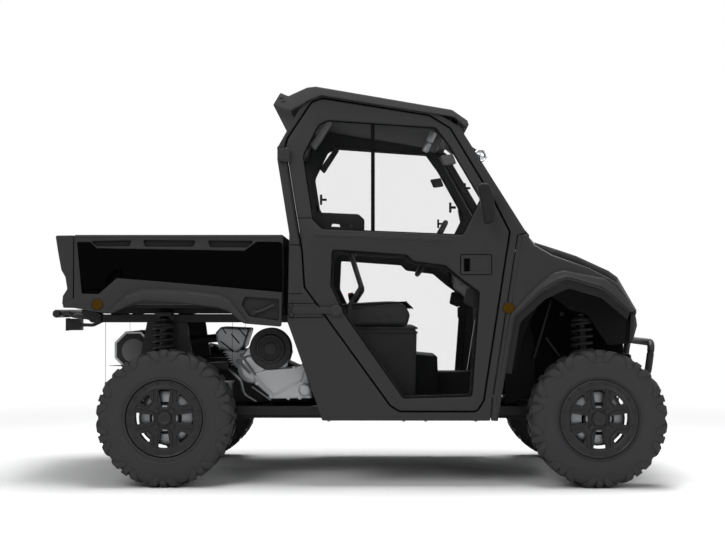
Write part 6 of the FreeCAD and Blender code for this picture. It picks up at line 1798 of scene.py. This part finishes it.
@dataclass(frozen=True)
class Softbox:
    """One square area lamp: where it stands, what it looks at, its side in metres and its watts."""
    name: str
    place: tuple
    aim: tuple
    side: float
    power: float

    def build(self) -> None:
        """Hang the lamp."""
        lamp = bpy.data.lights.new(self.name, "AREA")
        lamp.size, lamp.energy = self.side, self.power
        spot = bpy.data.objects.new(self.name, lamp)
        spot.location = self.place
        spot.rotation_euler = (Vector(self.aim) - Vector(self.place)).to_track_quat("-Z", "Y").to_euler()
        bpy.context.scene.collection.objects.link(spot)


SOFTBOXES = (
    # Name, place, aim, side and power
    Softbox("key", (-3.5, -6.0, 5.5), (0, 0, 0.8), 4.5, 235),
    Softbox("fill", (5.0, -5.5, 3.5), (0.3, 0, 0.8), 4.0, 105),
    Softbox("top", (0.3, 0.3, 6.5), (0, 0, 0), 4.0, 580))
SKY_STRENGTH = 0.20
# The photograph's camera: its place in metres, how far it looks down and to the left, its lens in mm
CAMERA_PLACE = (0.1175, -7.63, 0.885)
CAMERA_TILT, CAMERA_PAN = math.radians(90 + 1.435), math.radians(0.554)
LENS_MM, SENSOR_MM = 69.37, 36.0
# The floor's paper starts to fade at the first distance and is white at the second
FADE = (2.2, 6.0)
FLOOR_HALF = 60


def floor_paper() -> bpy.types.Material:
    """Pale paper that fades to white away from the vehicle: share = smooth step of the distance."""
    material = bpy.data.materials.new("floor_paper")
    tree = cleared_tree(material)
    place = add_node(tree, "TexCoord").outputs["Object"]
    far = add_node(tree, "VectorMath", {"operation": "LENGTH"}, {0: place}).outputs["Value"]
    share = add_node(tree, "MapRange", {"interpolation_type": "SMOOTHSTEP", "From Min": FADE[0],
            "From Max": FADE[1]}, {"Value": far}).outputs["Result"]
    rays = add_node(tree, "LightPath")
    seen = add_node(tree, "Math", {"operation": "MULTIPLY"}, {0: share, 1: rays.outputs["Is Camera Ray"]})
    paper = add_node(tree, "BsdfDiffuse", {"Color": linear("#f4f4f4")})
    white = add_node(tree, "Emission", {"Color": (1, 1, 1, 1), "Strength": 1.0})
    mix = add_node(tree, "MixShader", {}, {"Fac": seen.outputs[0]})
    tree.links.new(paper.outputs[0], mix.inputs[1])
    tree.links.new(white.outputs[0], mix.inputs[2])
    add_node(tree, "OutputMaterial", links={"Surface": mix.outputs[0]})
    return material


def set_world() -> None:
    """White for what the camera sees, reflects and looks through, and a soft grey sky for the light."""
    world = bpy.data.worlds.new("studio")
    bpy.context.scene.world = world
    tree = cleared_tree(world)
    rays = add_node(tree, "LightPath")
    seen = add_node(tree, "Math", {"operation": "MAXIMUM"},
        {0: rays.outputs["Is Camera Ray"], 1: rays.outputs["Is Transmission Ray"]})
    bright = add_node(tree, "Math", {"operation": "MAXIMUM"},
        {0: seen.outputs[0], 1: rays.outputs["Is Glossy Ray"]})
    white = add_node(tree, "Background", {"Color": (1, 1, 1, 1), "Strength": 1.0})
    soft = add_node(tree, "Background", {"Color": linear("#f4f6f8"), "Strength": SKY_STRENGTH})
    mix = add_node(tree, "MixShader", {}, {"Fac": bright.outputs[0]})
    tree.links.new(soft.outputs[0], mix.inputs[1])
    tree.links.new(white.outputs[0], mix.inputs[2])
    add_node(tree, "OutputWorld", links={"Surface": mix.outputs[0]})


def set_stage() -> None:
    """Floor, world, soft lamps and the camera of the photograph."""
    scene = bpy.context.scene
    scene.view_settings.view_transform = "Standard"
    floor = bpy.data.meshes.new("floor")
    corners = [(FLOOR_HALF * x, FLOOR_HALF * y, 0) for x, y in ((-1, -1), (1, -1), (1, 1), (-1, 1))]
    floor.from_pydata(corners, [], [(0, 1, 2, 3)])
    floor.materials.append(floor_paper())
    ground = bpy.data.objects.new("floor", floor)
    scene.collection.objects.link(ground)
    set_world()
    for softbox in SOFTBOXES:
        softbox.build()
    lens = bpy.data.cameras.new("camera")
    lens.lens, lens.sensor_width = LENS_MM, SENSOR_MM
    camera = bpy.data.objects.new("camera", lens)
    camera.location = CAMERA_PLACE
    camera.rotation_euler = (CAMERA_TILT, 0.0, CAMERA_PAN)
    scene.collection.objects.link(camera)
    scene.camera = camera


def main() -> None:
    """Build each sub-assembly in turn, then the stage."""
    logging.basicConfig(level=logging.INFO, format="%(name)s: %(message)s")
    for assembly in (Wheel("front", 1.2075, 0.230), Wheel("rear", -0.9225, 0.270), Cab(), Nose(), Bed(),
            Seats(), Cockpit(), Suspension(), Drive(), Bars(), Frame()):
        assembly.build()
    set_stage()


if __name__ == "__main__":
    main()
